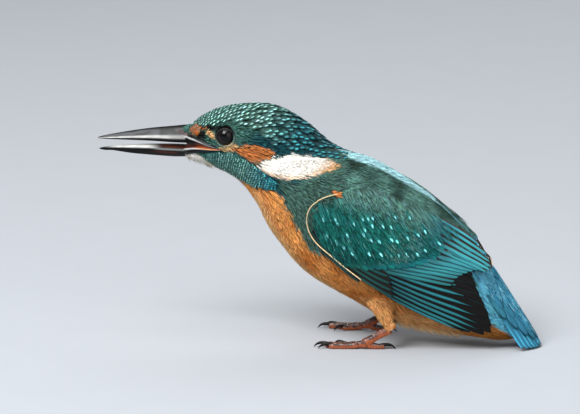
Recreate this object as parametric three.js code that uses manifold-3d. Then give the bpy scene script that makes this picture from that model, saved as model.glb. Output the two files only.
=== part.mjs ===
// A common kingfisher, Alcedo atthis, life size. It stands on both feet and the tip of its tail,
// leans forward, and holds its bill a little open.
// Millimetres, +Z up. The bill points to -X and the bird's left side faces -Y.
// The origin lies on the ground, under the middle of the bird's outline.
import * as THREE from "three";
import Module from "manifold-3d";
import { mergeVertices } from "three/addons/utils/BufferGeometryUtils.js";

// ---------------------------------------------------------------- driving dimensions

const HALF_LENGTH = 77.6; // from the origin to the bill tip, and to the tail tip
const GAP = 0.3; // clearance between neighbouring solids
const SEAM = 0.025; // half the cut between two lengths of the body, in stations

// Stations down the body, from the face to the end of the tail coverts: the line of the back and
// of the belly as [x, z], half the width, and how far down from the back the body is widest.
const STATIONS = [
  { back: [-45.0, 73.4], belly: [-47.4, 62.2], half: 4.4, widest: 0.52 },
  { back: [-41.9, 76.2], belly: [-42.9, 61.2], half: 6.9, widest: 0.5 },
  { back: [-36.6, 79.2], belly: [-37.3, 59.6], half: 9.1, widest: 0.48 },
  { back: [-30.3, 81.0], belly: [-31.4, 57.0], half: 10.6, widest: 0.46 },
  { back: [-23.3, 81.8], belly: [-26.4, 53.7], half: 11.7, widest: 0.46 },
  { back: [-16.3, 81.7], belly: [-23.3, 49.9], half: 12.3, widest: 0.48 },
  { back: [-9.3, 79.0], belly: [-20.5, 45.4], half: 12.4, widest: 0.5 },
  { back: [-3.0, 75.0], belly: [-18.4, 40.9], half: 12.6, widest: 0.5 },
  { back: [3.3, 69.5], belly: [-16.0, 36.9], half: 13.4, widest: 0.5 },
  { back: [9.8, 66.2], belly: [-12.8, 32.9], half: 14.8, widest: 0.48 },
  { back: [18.0, 64.0], belly: [-8.5, 27.5], half: 16.6, widest: 0.46 },
  { back: [27.7, 58.9], belly: [-3.0, 22.6], half: 17.7, widest: 0.45 },
  { back: [36.9, 53.0], belly: [3.9, 18.6], half: 18.2, widest: 0.45 },
  { back: [44.9, 46.3], belly: [12.4, 14.4], half: 17.6, widest: 0.45 },
  { back: [51.6, 39.0], belly: [22.0, 9.0], half: 15.9, widest: 0.45 },
  { back: [57.2, 32.2], belly: [32.2, 5.6], half: 13.4, widest: 0.45 },
  { back: [61.9, 25.2], belly: [43.0, 3.9], half: 11.0, widest: 0.45 },
  { back: [66.5, 17.0], belly: [54.0, 2.9], half: 8.6, widest: 0.4 },
  { back: [70.2, 10.0], belly: [63.4, 1.9], half: 6.8, widest: 0.38 },
  { back: [72.0, 6.4], belly: [68.6, 3.0], half: 4.6, widest: 0.4 },
];
const LAST_STATION = STATIONS.length - 1;
const BODY_LENGTHS = { head: [0, 6.3], neck: [6.3, 8.8], trunk: [8.8, 14.6], rump: [14.6, LAST_STATION] };

const EYE = { x: -30.8, y: 8.0, z: 71.7, radius: 3.3 };

// The two mandibles, from the tip to the end inside the head: the ridge above, the edge below and
// half the width.
const UPPER_BILL = [
  { x: -HALF_LENGTH, top: 68.4, bottom: 67.6, half: 0.45 },
  { x: -73.0, top: 69.4, bottom: 67.7, half: 1.0 },
  { x: -67.0, top: 70.6, bottom: 67.8, half: 1.75 },
  { x: -59.0, top: 72.0, bottom: 67.9, half: 2.6 },
  { x: -51.0, top: 73.0, bottom: 67.8, half: 3.5 },
  { x: -45.5, top: 73.6, bottom: 67.8, half: 4.1 },
  { x: -40.0, top: 73.2, bottom: 67.2, half: 4.3 },
];
const LOWER_BILL = [
  { x: -77.0, top: 64.5, bottom: 63.7, half: 0.4 },
  { x: -72.0, top: 65.1, bottom: 63.6, half: 0.95 },
  { x: -66.0, top: 65.6, bottom: 62.9, half: 1.65 },
  { x: -59.0, top: 66.0, bottom: 62.5, half: 2.4 },
  { x: -51.0, top: 66.2, bottom: 62.2, half: 3.2 },
  { x: -46.0, top: 66.1, bottom: 62.4, half: 3.6 },
  { x: -40.0, top: 65.6, bottom: 62.9, half: 3.6 },
];
// The corner of the mouth, and how far the gape opens at the front of the face.
const GAPE = { x: -35.5, z: 66.0, front: -52, low: 66.0, high: 68.0, half: 14 };

// The folded wing is drawn on a plane beside the body: "along" runs from the bend of the wing to
// the tips of the primaries, and "across" runs up towards the back.
const WING = { x: -0.5, z: 46.7, slope: THREE.MathUtils.degToRad(32.8) };
const WING_SPAN = [-3, 79];
const WING_CELLS = { along: 18, around: 10 };
const WING_WIDEST = 4.7; // the height across at which the wing stands furthest out
const WING_TURN = [THREE.MathUtils.degToRad(-48), THREE.MathUtils.degToRad(84)]; // and its arc from there
const WING_STEP = 10; // spacing of the values below, along the wing
const WING_HALF_WIDTH = [16.9, 19.9, 21.4, 21.8, 20.6, 18.0, 14.4, 11.2, 9.4];
const WING_RISE = [19.0, 19.9, 20.9, 20.8, 19.6, 17.9, 15.6, 15.4, 15.2]; // height of the arc above
const WING_FALL = 24; // and of the arc below
const WING_THICK = { front: 8, tip: 1.3, from: 34, to: 60 };
const WING_LAYERS = { coverts: 0.9, secondaries: 0.45, primaries: 0 }; // each lies over the next

// Lines that divide the folded wing, as [along, across].
const COVERTS_FRONT = [
  [20.6, -8.3], [14, -7.2], [8, -4.9], [3, -2.8], [0.2, 0.6], [0.6, 5.6], [3.4, 11], [7.6, 18.6],
  [11.6, 22.4], [17, 23.9], [24.4, 25.0], [33, 25.6], [40, 25.1], [46, 23.7], [52.6, 21.2],
];
const COVERTS_BACK = [[52.6, 21.2], [48, 17.2], [43, 12], [37.5, 6.6], [32, 1.6], [26, -4], [20.6, -8.3]];
const COVERTS_HIDE = [[30, 0], [40, 10], [49, 20], [52.6, 21.2]];
const SECONDARY_LINE = [[31, 0.6], [40, 4.0], [48, 7.6], [55.4, 11.6]];
const TERTIAL_TIP = [60.8, 18.4];
const PRIMARY_HIDE = [[21.6, -8.3], [28, -3], [34, 4], [44, 9], [52, 12.6]];
const PRIMARY_START = [57.2, 12.6];
const PRIMARY_TIP = [74.2, -1.4];
const PRIMARY_EDGE = [[69, -5], [59.7, -6.4], [48, -7.9], [34.8, -7.8], [26, -8.4], [21.6, -8.3]];
const SECONDARY_TIPS = 5;
const PRIMARY_TIPS = 6;

// The tail is a fan of twelve feathers, pitched like a roof along its middle.
const TAIL = { x: 59.4, z: 28.2, half: 9.0, drop: 4.8, shorter: 4.6, thick: 0.9, feathers: 12 };
const TAIL_TIP_Z = 0.2; // the ridge of the fan over the ground, where its end is flattened

// One leg. The foot is placed by the root of the toes. A toe turns outwards from straight ahead.
const LEG = { out: 14, hipX: 22.5, hipZ: 18, heelX: 27.2, heelZ: 7.4, toesX: 18.4, toesZ: 2.0 };
const RIGHT_FOOT_FORWARD = 3.4;
const THIGH = { hip: 6.1, end: 1.85, flatten: 0.75 }; // its radius at the hip and above the heel
const SHANK = { radius: 1.4, knuckle: 0.25 }; // the bare tarsus, and how much its ends swell
const TOE_HEIGHT = 1.0; // the line of a toe over the ground
const TOE_LIFT = [0.8, 0.2, 0, 0]; // and how much higher it is, from its root to its tip
const TOES = {
  middle: { length: 13.6, turn: 0, radius: 1.35 },
  outer: { length: 12.2, turn: 9, radius: 1.25 },
  inner: { length: 8.8, turn: -17, radius: 1.1 },
  hind: { length: 6.8, turn: -172, radius: 1.2 },
};
const CLAW = { length: 3.7, radius: 0.72, rise: 0.55 };

// ---------------------------------------------------------------- materials

const material = (color, roughness) => new THREE.MeshStandardMaterial({ color, roughness, metalness: 0 });
const PLUMAGE = {
  crown: material("#1d5a5c", 0.6),
  mantle: material("#3f7d78", 0.6),
  breast: material("#b8642c", 0.8),
  tail: material("#2f8fbe", 0.5),
  coverts: material("#157070", 0.55),
  flight: material("#1f8a90", 0.5),
  primaries: material("#2a211c", 0.6),
};
const HORN = material("#17130f", 0.35);
const EYE_GLOSS = material("#0c0907", 0.08);
const FOOT_SKIN = material("#7a3119", 0.5);

// ---------------------------------------------------------------- solids

const wasm = await Module();
wasm.setup();

/** A closed three.js geometry as a solid that can be joined and cut. */
function solid(geometry) {
  const bare = geometry.clone();
  bare.deleteAttribute("normal");
  bare.deleteAttribute("uv");
  const merged = mergeVertices(bare, 1e-4);
  const vertProperties = new Float32Array(merged.attributes.position.array);
  const triVerts = new Uint32Array(merged.index.array);
  const made = new wasm.Manifold(new wasm.Mesh({ numProp: 3, vertProperties, triVerts }));
  if (made.volume() > 0) return made;
  triVerts.reverse();
  return new wasm.Manifold(new wasm.Mesh({ numProp: 3, vertProperties, triVerts }));
}

/** The largest body of a solid, without the slivers that a cut may leave. */
function largest(cut) {
  const bodies = cut.decompose();
  return bodies.reduce((a, b) => (b.volume() > a.volume() ? b : a));
}

/** A solid as a named mesh. */
function mesh(name, cut, finish) {
  const { numProp, vertProperties, triVerts } = largest(cut).getMesh();
  const place = new Float32Array((vertProperties.length / numProp) * 3);
  for (let i = 0; i < place.length / 3; i++) {
    place.set(vertProperties.subarray(i * numProp, i * numProp + 3), i * 3);
  }
  const geometry = new THREE.BufferGeometry();
  geometry.setAttribute("position", new THREE.BufferAttribute(place, 3));
  geometry.setIndex(new THREE.BufferAttribute(triVerts, 1));
  geometry.computeVertexNormals();
  const made = new THREE.Mesh(geometry, finish);
  made.name = name;
  return made;
}

/** A closed tube of sections: section(t, angle, reach) gives a point, for t from 0 to 1 along it. */
function sectioned(sides, steps, section) {
  const geometry = new THREE.CylinderGeometry(1, 1, 1, sides, steps);
  const at = geometry.attributes.position;
  for (let i = 0; i < at.count; i++) {
    const reach = Math.min(1, Math.hypot(at.getX(i), at.getZ(i)));
    const point = section(0.5 - at.getY(i), Math.atan2(at.getX(i), at.getZ(i)), reach);
    at.setXYZ(i, point.x, point.y, point.z);
  }
  return solid(geometry);
}

/** A value read from evenly spaced numbers by a smooth curve. */
function smooth(values, place) {
  const curve = new THREE.SplineCurve(values.map((value, i) => new THREE.Vector2(i, value)));
  return curve.getPoint(THREE.MathUtils.clamp(place / (values.length - 1), 0, 1)).y;
}

const overGround = solid(new THREE.BoxGeometry(200, 200, 200).translate(0, 0, 100));
/** A solid with a flat where it is pressed on the ground. */
const onGround = (whole) => whole.intersect(overGround);

// ---------------------------------------------------------------- head, neck, trunk and rump

const backLine = new THREE.SplineCurve(STATIONS.map((s) => new THREE.Vector2(...s.back)));
const bellyLine = new THREE.SplineCurve(STATIONS.map((s) => new THREE.Vector2(...s.belly)));
const girth = new THREE.SplineCurve(STATIONS.map((s) => new THREE.Vector2(s.half, s.widest)));

/** A point of the body at a station: angle 0 is up the back, and reach 1 is the surface. */
function bodyPoint(station, angle, reach, grow = 0) {
  const back = backLine.getPoint(station / LAST_STATION);
  const belly = bellyLine.getPoint(station / LAST_STATION);
  const width = girth.getPoint(station / LAST_STATION);
  const centre = back.clone().lerp(belly, width.y);
  const end = Math.cos(angle) > 0 ? back : belly;
  const arm = end.clone().sub(centre);
  arm.setLength(arm.length() + grow).multiplyScalar(Math.abs(Math.cos(angle)) * reach);
  const side = Math.sin(angle) * reach * (width.x + grow);
  return new THREE.Vector3(centre.x + arm.x, side, centre.y + arm.y);
}

/** The body between two stations. */
function bodyLength([from, to], sides, steps, grow = 0) {
  const start = from === 0 ? 0 : from + SEAM;
  const stop = to === LAST_STATION ? to : to - SEAM;
  return sectioned(sides, steps, (t, angle, reach) =>
    bodyPoint(THREE.MathUtils.lerp(start, stop, t), angle, reach, grow));
}

const wholeBody = bodyLength([0, LAST_STATION], 24, 26, GAP);

// ---------------------------------------------------------------- bill and eyes

/** A mandible: a rounded wedge with its ridge on the side that the mouth isn't. */
function mandible(outline, ridgeUp, grow = 0) {
  const last = outline.length - 1;
  return sectioned(12, 8, (t, angle, reach) => {
    const x = smooth(outline.map((s) => s.x), t * last);
    const top = smooth(outline.map((s) => s.top), t * last) + grow;
    const bottom = smooth(outline.map((s) => s.bottom), t * last) - grow;
    const half = smooth(outline.map((s) => s.half), t * last) + grow;
    const [ridge, edge] = ridgeUp ? [top, bottom] : [bottom, top];
    const towardsRidge = Math.max(0, Math.cos(angle)) * reach;
    const flare = 1 - 0.35 * towardsRidge;
    const push = t === 0 ? grow : 0;
    const z = THREE.MathUtils.lerp(edge, ridge, 0.22 + 0.78 * towardsRidge);
    const under = Math.min(0, Math.cos(angle)) * 0.22 * reach * (ridge - edge);
    return new THREE.Vector3(x - push, Math.sin(angle) * half * flare * reach, z + under);
  });
}

const eyeball = (grow = 0) => {
  const ball = new THREE.SphereGeometry(EYE.radius + grow, 12, 8);
  return ball.rotateX(Math.PI / 2).translate(EYE.x, -EYE.y, EYE.z);
};

/** The gape: the wedge of air between the mandibles, back to the corner of the mouth. */
function gapeWedge() {
  const outline = new THREE.Shape();
  outline.moveTo(GAPE.x, GAPE.z);
  outline.lineTo(GAPE.front, GAPE.high);
  outline.lineTo(GAPE.front, GAPE.low);
  const wedge = new THREE.ExtrudeGeometry(outline, { depth: 2 * GAPE.half, bevelEnabled: false });
  return solid(wedge.rotateX(Math.PI / 2).translate(0, GAPE.half, 0));
}

function head() {
  const bothEyes = solid(eyeball(GAP)).add(solid(eyeball(GAP).scale(1, -1, 1)));
  return bodyLength(BODY_LENGTHS.head, 24, 12)
    .subtract(mandible(UPPER_BILL, true, GAP))
    .subtract(mandible(LOWER_BILL, false, GAP))
    .subtract(gapeWedge())
    .subtract(bothEyes);
}

// ---------------------------------------------------------------- wings

/** The folded wing's surface: how far across the wing's plane and how far out from it. */
function wingSurface(along, turn) {
  const width = smooth(WING_HALF_WIDTH, along / WING_STEP);
  const arc = turn > 0 ? smooth(WING_RISE, along / WING_STEP) : WING_FALL;
  return [WING_WIDEST + arc * Math.sin(turn), width * Math.cos(turn)];
}

/** A point on the wing's plane, at a distance out on the left side. */
function wingPoint(along, across, out) {
  const [c, s] = [Math.cos(WING.slope), Math.sin(WING.slope)];
  return new THREE.Vector3(WING.x + along * c + across * s, -out, WING.z - along * s + across * c);
}

/** One layer of the wing over its whole plane, as thick as it needs to be to reach the body. */
function wingLayer(lift) {
  const slab = new THREE.BoxGeometry(1, 1, 1, WING_CELLS.along, 1, WING_CELLS.around);
  const at = slab.attributes.position;
  for (let i = 0; i < at.count; i++) {
    const along = THREE.MathUtils.lerp(...WING_SPAN, at.getX(i) + 0.5);
    const [across, out] = wingSurface(along, THREE.MathUtils.lerp(...WING_TURN, at.getZ(i) + 0.5));
    const share = THREE.MathUtils.smoothstep(along, WING_THICK.from, WING_THICK.to);
    const thick = THREE.MathUtils.lerp(WING_THICK.front, WING_THICK.tip, share);
    const deep = at.getY(i) > 0 ? -lift : Math.min(thick, out - 0.6);
    const point = wingPoint(along, across, out - deep);
    at.setXYZ(i, point.x, point.y, point.z);
  }
  return solid(slab);
}

/** Rounded feather tips in a row between two places on the wing's plane. */
function featherTips(from, to, count, depth) {
  const points = [];
  for (let i = 0; i < count; i++) {
    for (const [share, out] of [[0, 0], [0.35, 0.8], [0.7, 1]]) {
      const place = (i + share) / count;
      const along = THREE.MathUtils.lerp(from[0], to[0], place) + depth * out;
      points.push([along, THREE.MathUtils.lerp(from[1], to[1], place)]);
    }
  }
  return points;
}

/** All that lies behind an outline on the wing's plane. */
function wingPrism(outline) {
  const corners = outline.map(([along, across]) => {
    const point = wingPoint(along, across, 0);
    return new THREE.Vector2(point.x, point.z);
  });
  const prism = new THREE.ExtrudeGeometry(new THREE.Shape(corners), { depth: 60, bevelEnabled: false });
  return solid(prism.rotateX(Math.PI / 2));
}

/** The same prism, wider by the gap that neighbours keep. */
function wingPrismAndGap(outline) {
  const prism = wingPrism(outline);
  const shifts = [[1, 0], [-1, 0], [0, 1], [0, -1]];
  return shifts.reduce((all, [x, z]) => all.add(prism.translate([x * GAP, 0, z * GAP])), prism);
}

const softened = (line, count) => {
  const curve = new THREE.SplineCurve(line.map(([a, b]) => new THREE.Vector2(a, b)));
  return curve.getPoints(count).map((p) => [p.x, p.y]);
};

/** The three layers of a folded wing. Each hides the roots of the next. */
function wingParts() {
  const coverts = [...softened(COVERTS_FRONT, 26), ...COVERTS_BACK.slice(1, -1)];
  const secondaries = [
    ...COVERTS_HIDE,
    ...featherTips(TERTIAL_TIP, SECONDARY_LINE.at(-1), SECONDARY_TIPS, 0.9),
    ...SECONDARY_LINE.toReversed(),
  ];
  const primaries = [
    ...PRIMARY_HIDE,
    ...featherTips(PRIMARY_START, PRIMARY_TIP, PRIMARY_TIPS, 1.1),
    ...softened([PRIMARY_TIP, ...PRIMARY_EDGE], 12),
  ];
  const overSecondaries = wingPrismAndGap(coverts);
  const overPrimaries = overSecondaries.add(wingPrismAndGap(secondaries));
  const layer = (outline, lift) => wingLayer(lift).intersect(wingPrism(outline)).subtract(wholeBody);
  const inner = layer(secondaries, WING_LAYERS.secondaries).subtract(overSecondaries);
  const outer = layer(primaries, WING_LAYERS.primaries).subtract(overPrimaries);
  return [
    ["wing_coverts", layer(coverts, WING_LAYERS.coverts), PLUMAGE.coverts],
    ["wing_secondaries", inner, PLUMAGE.flight],
    ["wing_primaries", outer, PLUMAGE.primaries],
  ];
}

// ---------------------------------------------------------------- tail

/** The fan: a thin pitched plate whose far edge is a row of rounded feather tips. */
function tail() {
  const run = new THREE.Vector2(HALF_LENGTH - TAIL.x, TAIL_TIP_Z - TAIL.z);
  const length = run.length();
  run.normalize();
  const under = new THREE.Vector2(run.y, -run.x);
  const fan = new THREE.BoxGeometry(1, 1, 1, TAIL.feathers * 2, 1, 2);
  const at = fan.attributes.position;
  for (let i = 0; i < at.count; i++) {
    const across = at.getX(i) * 2;
    const along = at.getZ(i) + 0.5;
    const feather = Math.abs(Math.sin((at.getX(i) + 0.5) * TAIL.feathers * Math.PI));
    const aside = Math.max(0, Math.abs(across) - 1 / TAIL.feathers);
    const reach = length - TAIL.shorter * aside ** 2 - 0.8 * (1 - feather);
    const down = TAIL.drop * aside ** 1.5 + (at.getY(i) > 0 ? 0 : TAIL.thick);
    const half = TAIL.half * (0.8 + 0.2 * along);
    at.setXYZ(
      i,
      TAIL.x + run.x * reach * along + under.x * down,
      across * half,
      TAIL.z + run.y * reach * along + under.y * down,
    );
  }
  return onGround(solid(fan)).subtract(wholeBody);
}

// ---------------------------------------------------------------- legs and feet

/** A tube along a path in 3-D, with its radius and flattening given along it. */
function limb(points, radius, sides, steps, flatten = 1) {
  const path = new THREE.CatmullRomCurve3(points);
  return sectioned(sides, steps, (t, angle, reach) => {
    const centre = path.getPoint(t);
    const ahead = path.getTangent(t);
    const side = new THREE.Vector3(0, 0, 1).cross(ahead).normalize();
    const up = ahead.clone().cross(side).normalize();
    const r = radius(t) * reach;
    centre.addScaledVector(up, Math.cos(angle) * r);
    return centre.addScaledVector(side, Math.sin(angle) * r * flatten);
  });
}

/** The line of a toe, from its root to its tip. */
function toeLine(toe, root) {
  const turn = THREE.MathUtils.degToRad(toe.turn);
  const ahead = new THREE.Vector3(-Math.cos(turn), -Math.sin(turn), 0);
  return TOE_LIFT.map((rise, i) =>
    root.clone().addScaledVector(ahead, (toe.length * i) / 3).setZ(TOE_HEIGHT + rise));
}

const toeSolid = (toe, root, grow = 0) => {
  const pads = (t) => toe.radius * (1 - 0.22 * t) * (1 + 0.08 * Math.cos(t * Math.PI * 7)) + grow;
  return limb(toeLine(toe, root), pads, 8, 7);
};

/** A claw: a hook that springs from the end of a toe and bends to the ground. */
function claw(toe, root) {
  const line = toeLine(toe, root);
  const tip = line.at(-1);
  const ahead = tip.clone().sub(line.at(-2)).setZ(0).normalize();
  const hook = [[0.2, 0.35], [0.35, CLAW.rise + 0.35], [0.72, 0.25], [1, -0.5]];
  const points = hook.map(([out, rise]) =>
    tip.clone().addScaledVector(ahead, out * CLAW.length).setZ(TOE_HEIGHT + rise));
  const cut = toeSolid(toe, root, GAP);
  return onGround(limb(points, (t) => CLAW.radius * (1 - 0.82 * t) + 0.05, 6, 5).subtract(cut));
}

/** A whole leg, on the left side unless side is 1. */
function leg(side, name, forward) {
  const group = new THREE.Group();
  group.scale.y = -side;
  const root = new THREE.Vector3(LEG.toesX - forward, -LEG.out, LEG.toesZ);
  const heel = new THREE.Vector3(LEG.heelX - forward, -LEG.out, LEG.heelZ);
  const hip = new THREE.Vector3(LEG.hipX, -LEG.out + 3, LEG.hipZ);
  const knee = hip.clone().lerp(heel, 0.5);

  const thighShape = (grow) => (t) => THREE.MathUtils.lerp(THIGH.hip, THIGH.end, t ** 0.75) + grow;
  const thigh = (grow) => limb([hip, knee, heel], thighShape(grow), 12, 5, THIGH.flatten);
  const middle = (grow) => toeSolid(TOES.middle, root, grow);
  const outer = (grow) => toeSolid(TOES.outer, root, grow);
  const inner = (grow) => toeSolid(TOES.inner, root, grow);
  const hind = (grow) => toeSolid(TOES.hind, root, grow);
  const frontToes = middle(GAP).add(outer(GAP)).add(inner(GAP));
  const shank = [heel.clone().setZ(heel.z - 0.2), heel.clone().lerp(root, 0.5), root];
  const tarsus = limb(shank, (t) => SHANK.radius + SHANK.knuckle * (2 * t - 1) ** 2, 8, 5)
    .subtract(thigh(GAP)).subtract(frontToes).subtract(hind(GAP));
  const innerToe = inner(0).subtract(middle(GAP)).subtract(outer(GAP));

  group.add(mesh(`thigh_${name}`, thigh(0).subtract(wholeBody), PLUMAGE.breast));
  group.add(mesh(`tarsus_${name}`, onGround(tarsus), FOOT_SKIN));
  group.add(mesh(`toe_middle_${name}`, onGround(middle(0)), FOOT_SKIN));
  group.add(mesh(`toe_outer_${name}`, onGround(outer(0).subtract(middle(GAP))), FOOT_SKIN));
  group.add(mesh(`toe_inner_${name}`, onGround(innerToe), FOOT_SKIN));
  group.add(mesh(`toe_hind_${name}`, onGround(hind(0).subtract(frontToes)), FOOT_SKIN));
  for (const [toeName, toe] of Object.entries(TOES)) {
    group.add(mesh(`claw_${toeName}_${name}`, claw(toe, root), HORN));
  }
  return group;
}

// ---------------------------------------------------------------- the whole bird

const bird = new THREE.Group();
bird.add(mesh("head", head(), PLUMAGE.crown));
bird.add(mesh("neck", bodyLength(BODY_LENGTHS.neck, 24, 4), PLUMAGE.mantle));
bird.add(mesh("trunk", bodyLength(BODY_LENGTHS.trunk, 24, 11), PLUMAGE.breast));
bird.add(mesh("rump", bodyLength(BODY_LENGTHS.rump, 24, 8), PLUMAGE.tail));
bird.add(mesh("tail", tail(), PLUMAGE.tail));
bird.add(mesh("bill_upper", mandible(UPPER_BILL, true), HORN));
bird.add(mesh("bill_lower", mandible(LOWER_BILL, false), HORN));

const parts = wingParts();
for (const [side, name] of [[-1, "left"], [1, "right"]]) {
  const half = new THREE.Group();
  half.scale.y = -side;
  half.add(mesh(`eye_${name}`, solid(eyeball()), EYE_GLOSS));
  for (const [part, cut, finish] of parts) {
    half.add(mesh(`${part}_${name}`, cut, finish));
  }
  bird.add(half);
}
bird.add(leg(-1, "left", 0));
bird.add(leg(1, "right", RIGHT_FOOT_FORWARD));

export default bird;
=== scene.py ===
"""A common kingfisher, life size and standing still: skin, bill, eyes, feet and plumage."""

import math

import bmesh
import bpy
import numpy as np
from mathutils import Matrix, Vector
from mathutils.bvhtree import BVHTree


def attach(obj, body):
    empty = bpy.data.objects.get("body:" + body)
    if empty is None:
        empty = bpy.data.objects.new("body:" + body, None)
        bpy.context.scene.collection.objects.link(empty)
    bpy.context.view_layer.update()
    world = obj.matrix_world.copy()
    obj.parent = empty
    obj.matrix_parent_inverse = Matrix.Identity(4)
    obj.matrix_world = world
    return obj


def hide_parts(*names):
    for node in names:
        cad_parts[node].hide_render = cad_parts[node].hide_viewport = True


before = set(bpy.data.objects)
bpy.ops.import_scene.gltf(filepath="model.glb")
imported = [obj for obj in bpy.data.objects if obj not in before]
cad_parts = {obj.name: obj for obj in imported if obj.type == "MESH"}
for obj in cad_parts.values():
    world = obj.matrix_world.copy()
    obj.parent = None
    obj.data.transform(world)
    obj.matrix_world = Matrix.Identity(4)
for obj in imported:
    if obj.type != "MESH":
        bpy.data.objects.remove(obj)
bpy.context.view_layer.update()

# ---------------------------------------------------------------- driving sizes, in millimetres

MM = 0.001
LEFT, RIGHT = -1, 1  # the sign of y on each side; the bill points along -x
SIDES = {"left": LEFT, "right": RIGHT}
RNG = np.random.default_rng(7)

CAMERA = {"azimuth": 10, "elevation": 12, "lens": 300, "view_width": 200.1, "aim": (-10.0, 0.0, 45.8)}

SKIN_VOXEL, SKIN_SMOOTHING = 0.8, 4
FOOT_VOXEL, FOOT_SMOOTHING = 0.2, 5
COAT_DEPTH = 0.8  # the skin lies this far inside the outline of the plumage

TUFT_PATCH, LEAF_PATCH, VANE_PATCH = 0.003, 0.006, 0.01  # sizes of feathers in the OFBake map

EYE = {"x": -30.8, "y": 8.0, "z": 71.7, "radius": 3.3, "seen": 2.85}
LID_RIM = 0.34  # how thick the black rim of the eye is

# The folded wing's plane: "along" runs from its bend to the tips of the primaries, "across" runs
# up towards the back, and "out" is the distance from the bird's middle.
WING = {"x": -0.5, "z": 46.7, "slope": math.radians(32.8)}
WING_WIDEST = 4.7
WING_STEP = 10
WING_HALF_WIDTH = [16.9, 19.9, 21.4, 21.8, 20.6, 18.0, 14.4, 11.2, 9.4]
WING_RISE = [19.0, 19.9, 20.9, 20.8, 19.6, 17.9, 15.6, 15.4, 15.2]
WING_FALL = 24
LEG = {"out": 14, "heel_x": 27.2, "heel_z": 7.4, "toes_x": 18.4, "toes_z": 2.0}
FOOT_FORWARD = {"left": 0.0, "right": 3.4}
HEEL_BARE = 3.2  # feathers grow no nearer than this to the heel
FLIGHT_AREA = [
    (21.6, -8.3), (28, -3), (34, 4), (44, 9), (50, 20), (60.8, 18.4), (57.2, 12.6),
    (66, 7.8), (74.2, -1.4), (69, -5), (59.7, -6.4), (48, -7.9), (34.8, -7.8),
]

# The lie of the coat, seen from the side: at (x, z) feathers point this many degrees under level.
LIE = [
    ((-42, 76), -12), ((-34, 80), -4), ((-25, 81), 4), ((-14, 81), 22), ((-6, 76), 38), ((2, 70), 36),
    ((-22, 72), 14), ((-12, 72), 26), ((-36, 71), 8), ((-31, 67), 14), ((-20, 66), 20),
    ((-36, 62), 26), ((-28, 60), 34), ((-20, 56), 36), ((-42, 60), 12), ((-27, 53), 45),
    ((-15, 40), 60), ((-8, 30), 52), ((0, 22), 40), ((15, 12), 25), ((35, 8), 10), ((55, 6), 8),
    ((-10, 63), 6), ((-2, 62), 4), ((4, 63), 0), ((-5, 55), 34), ((-8, 48), 55), ((5, 52), 48),
    ((12, 62), 38), ((22, 60), 40), ((35, 52), 44), ((45, 44), 46), ((55, 34), 54), ((65, 20), 62),
    ((14, 54), 62), ((22, 52), 56), ((30, 48), 54), ((15, 25), 36), ((22, 13), 70), ((30, 20), 34),
    ((3, 44), 56), ((10, 38), 54), ((20, 42), 56), ((30, 38), 50), ((40, 40), 46),
]

# ---------------------------------------------------------------- markings, as (x, z) in millimetres

EAR_PATCH = [
    (-31.0, 67.6), (-28.4, 68.7), (-23.7, 69.1), (-19.1, 69.1), (-14.9, 68.2), (-13.5, 67.2), (-14.2, 65.8),
    (-16.2, 64.7), (-19.1, 63.2), (-21.9, 63.3), (-24.4, 65.3), (-26.9, 66.7),
]
EAR_CREAM = [(-33.8, 67.4), (-32.0, 68.7), (-28.4, 69.5), (-26.2, 68.9), (-28.0, 67.4), (-31.3, 66.4)]
NECK_PATCH = [
    (-19.2, 61.8), (-17.6, 63.8), (-13.1, 65.4), (-8.0, 66.4), (-3.0, 66.6), (0.3, 66.2), (3.7, 65.1),
    (7.2, 63.4), (5.1, 62.0), (1.8, 61.0), (-2.6, 59.6), (-6.7, 58.4), (-11.3, 58.6), (-15.5, 59.8),
]
MALAR = [
    (-39, 65.6), (-34.6, 66.4), (-30.6, 66.5), (-26.2, 65.8), (-22.6, 63.7), (-19.4, 61.9), (-16.3, 59.2),
    (-13.4, 57.8), (-13.0, 56.4), (-14.6, 55.0), (-17.9, 54.4), (-22.4, 54.8), (-26.3, 55.4), (-30.7, 56.8),
    (-35.2, 59.1), (-39.5, 62.3),
]
THROAT = [
    (-50, 66), (-39.5, 63.4), (-35.3, 60.9), (-30.7, 58.6), (-26.4, 56.5), (-24.1, 55.3), (-21.6, 54.2),
    (-22, 49), (-32, 50), (-50, 56),
]
UNDERPARTS = [
    (-26, 55.4), (-20, 54.2), (-12.5, 54.0), (-9.6, 48.6), (-7, 44), (-4, 39), (-0.6, 33.5),
    (8, 31), (20, 26), (40, 16), (56, 9), (71, 7), (82, -4), (-40, -6), (-40, 45),
]
NECK_SIDE = [
    (-13, 58), (-10.4, 54), (-9.6, 48.6), (-7, 44), (-4, 39), (-0.6, 33.5), (6, 36), (8, 50),
    (12, 56), (9, 62.5), (4.7, 61.4), (-4, 58.8), (-8.5, 57.6),
]
LORE_ORANGE = [
    (-44.9, 72.0), (-43.9, 73.6), (-42.4, 75.0), (-40.4, 75.3), (-37.6, 74.7), (-39.0, 73.4), (-40.9, 72.3),
    (-43.4, 71.2),
]
LORE_CREAM = [(-38.0, 73.6), (-36.6, 73.4), (-35.4, 72.3), (-34.6, 71.0), (-36.2, 70.5), (-37.6, 71.9)]
LORE_BLACK = [(-42.6, 71.8), (-40.6, 72.0), (-38.8, 72.9), (-38.2, 71.4), (-38.6, 69.9), (-42.4, 70.6)]
EYE_LINE = [(-38.8, 74.9), (-36, 75.1), (-32.6, 74.9), (-32.0, 73.8), (-34.4, 73.0), (-37.6, 73.7)]
MOUTH = [
    (-47, 71.2), (-44.2, 70.9), (-41.9, 70.5), (-39, 69.8), (-37.2, 68.6), (-34.6, 67.9), (-32.2, 67.1),
    (-34.5, 66.2), (-37, 65.7), (-39.8, 65.2), (-42.5, 64.7), (-47, 63.6),
]

# ---------------------------------------------------------------- colours, as sRGB


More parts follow.
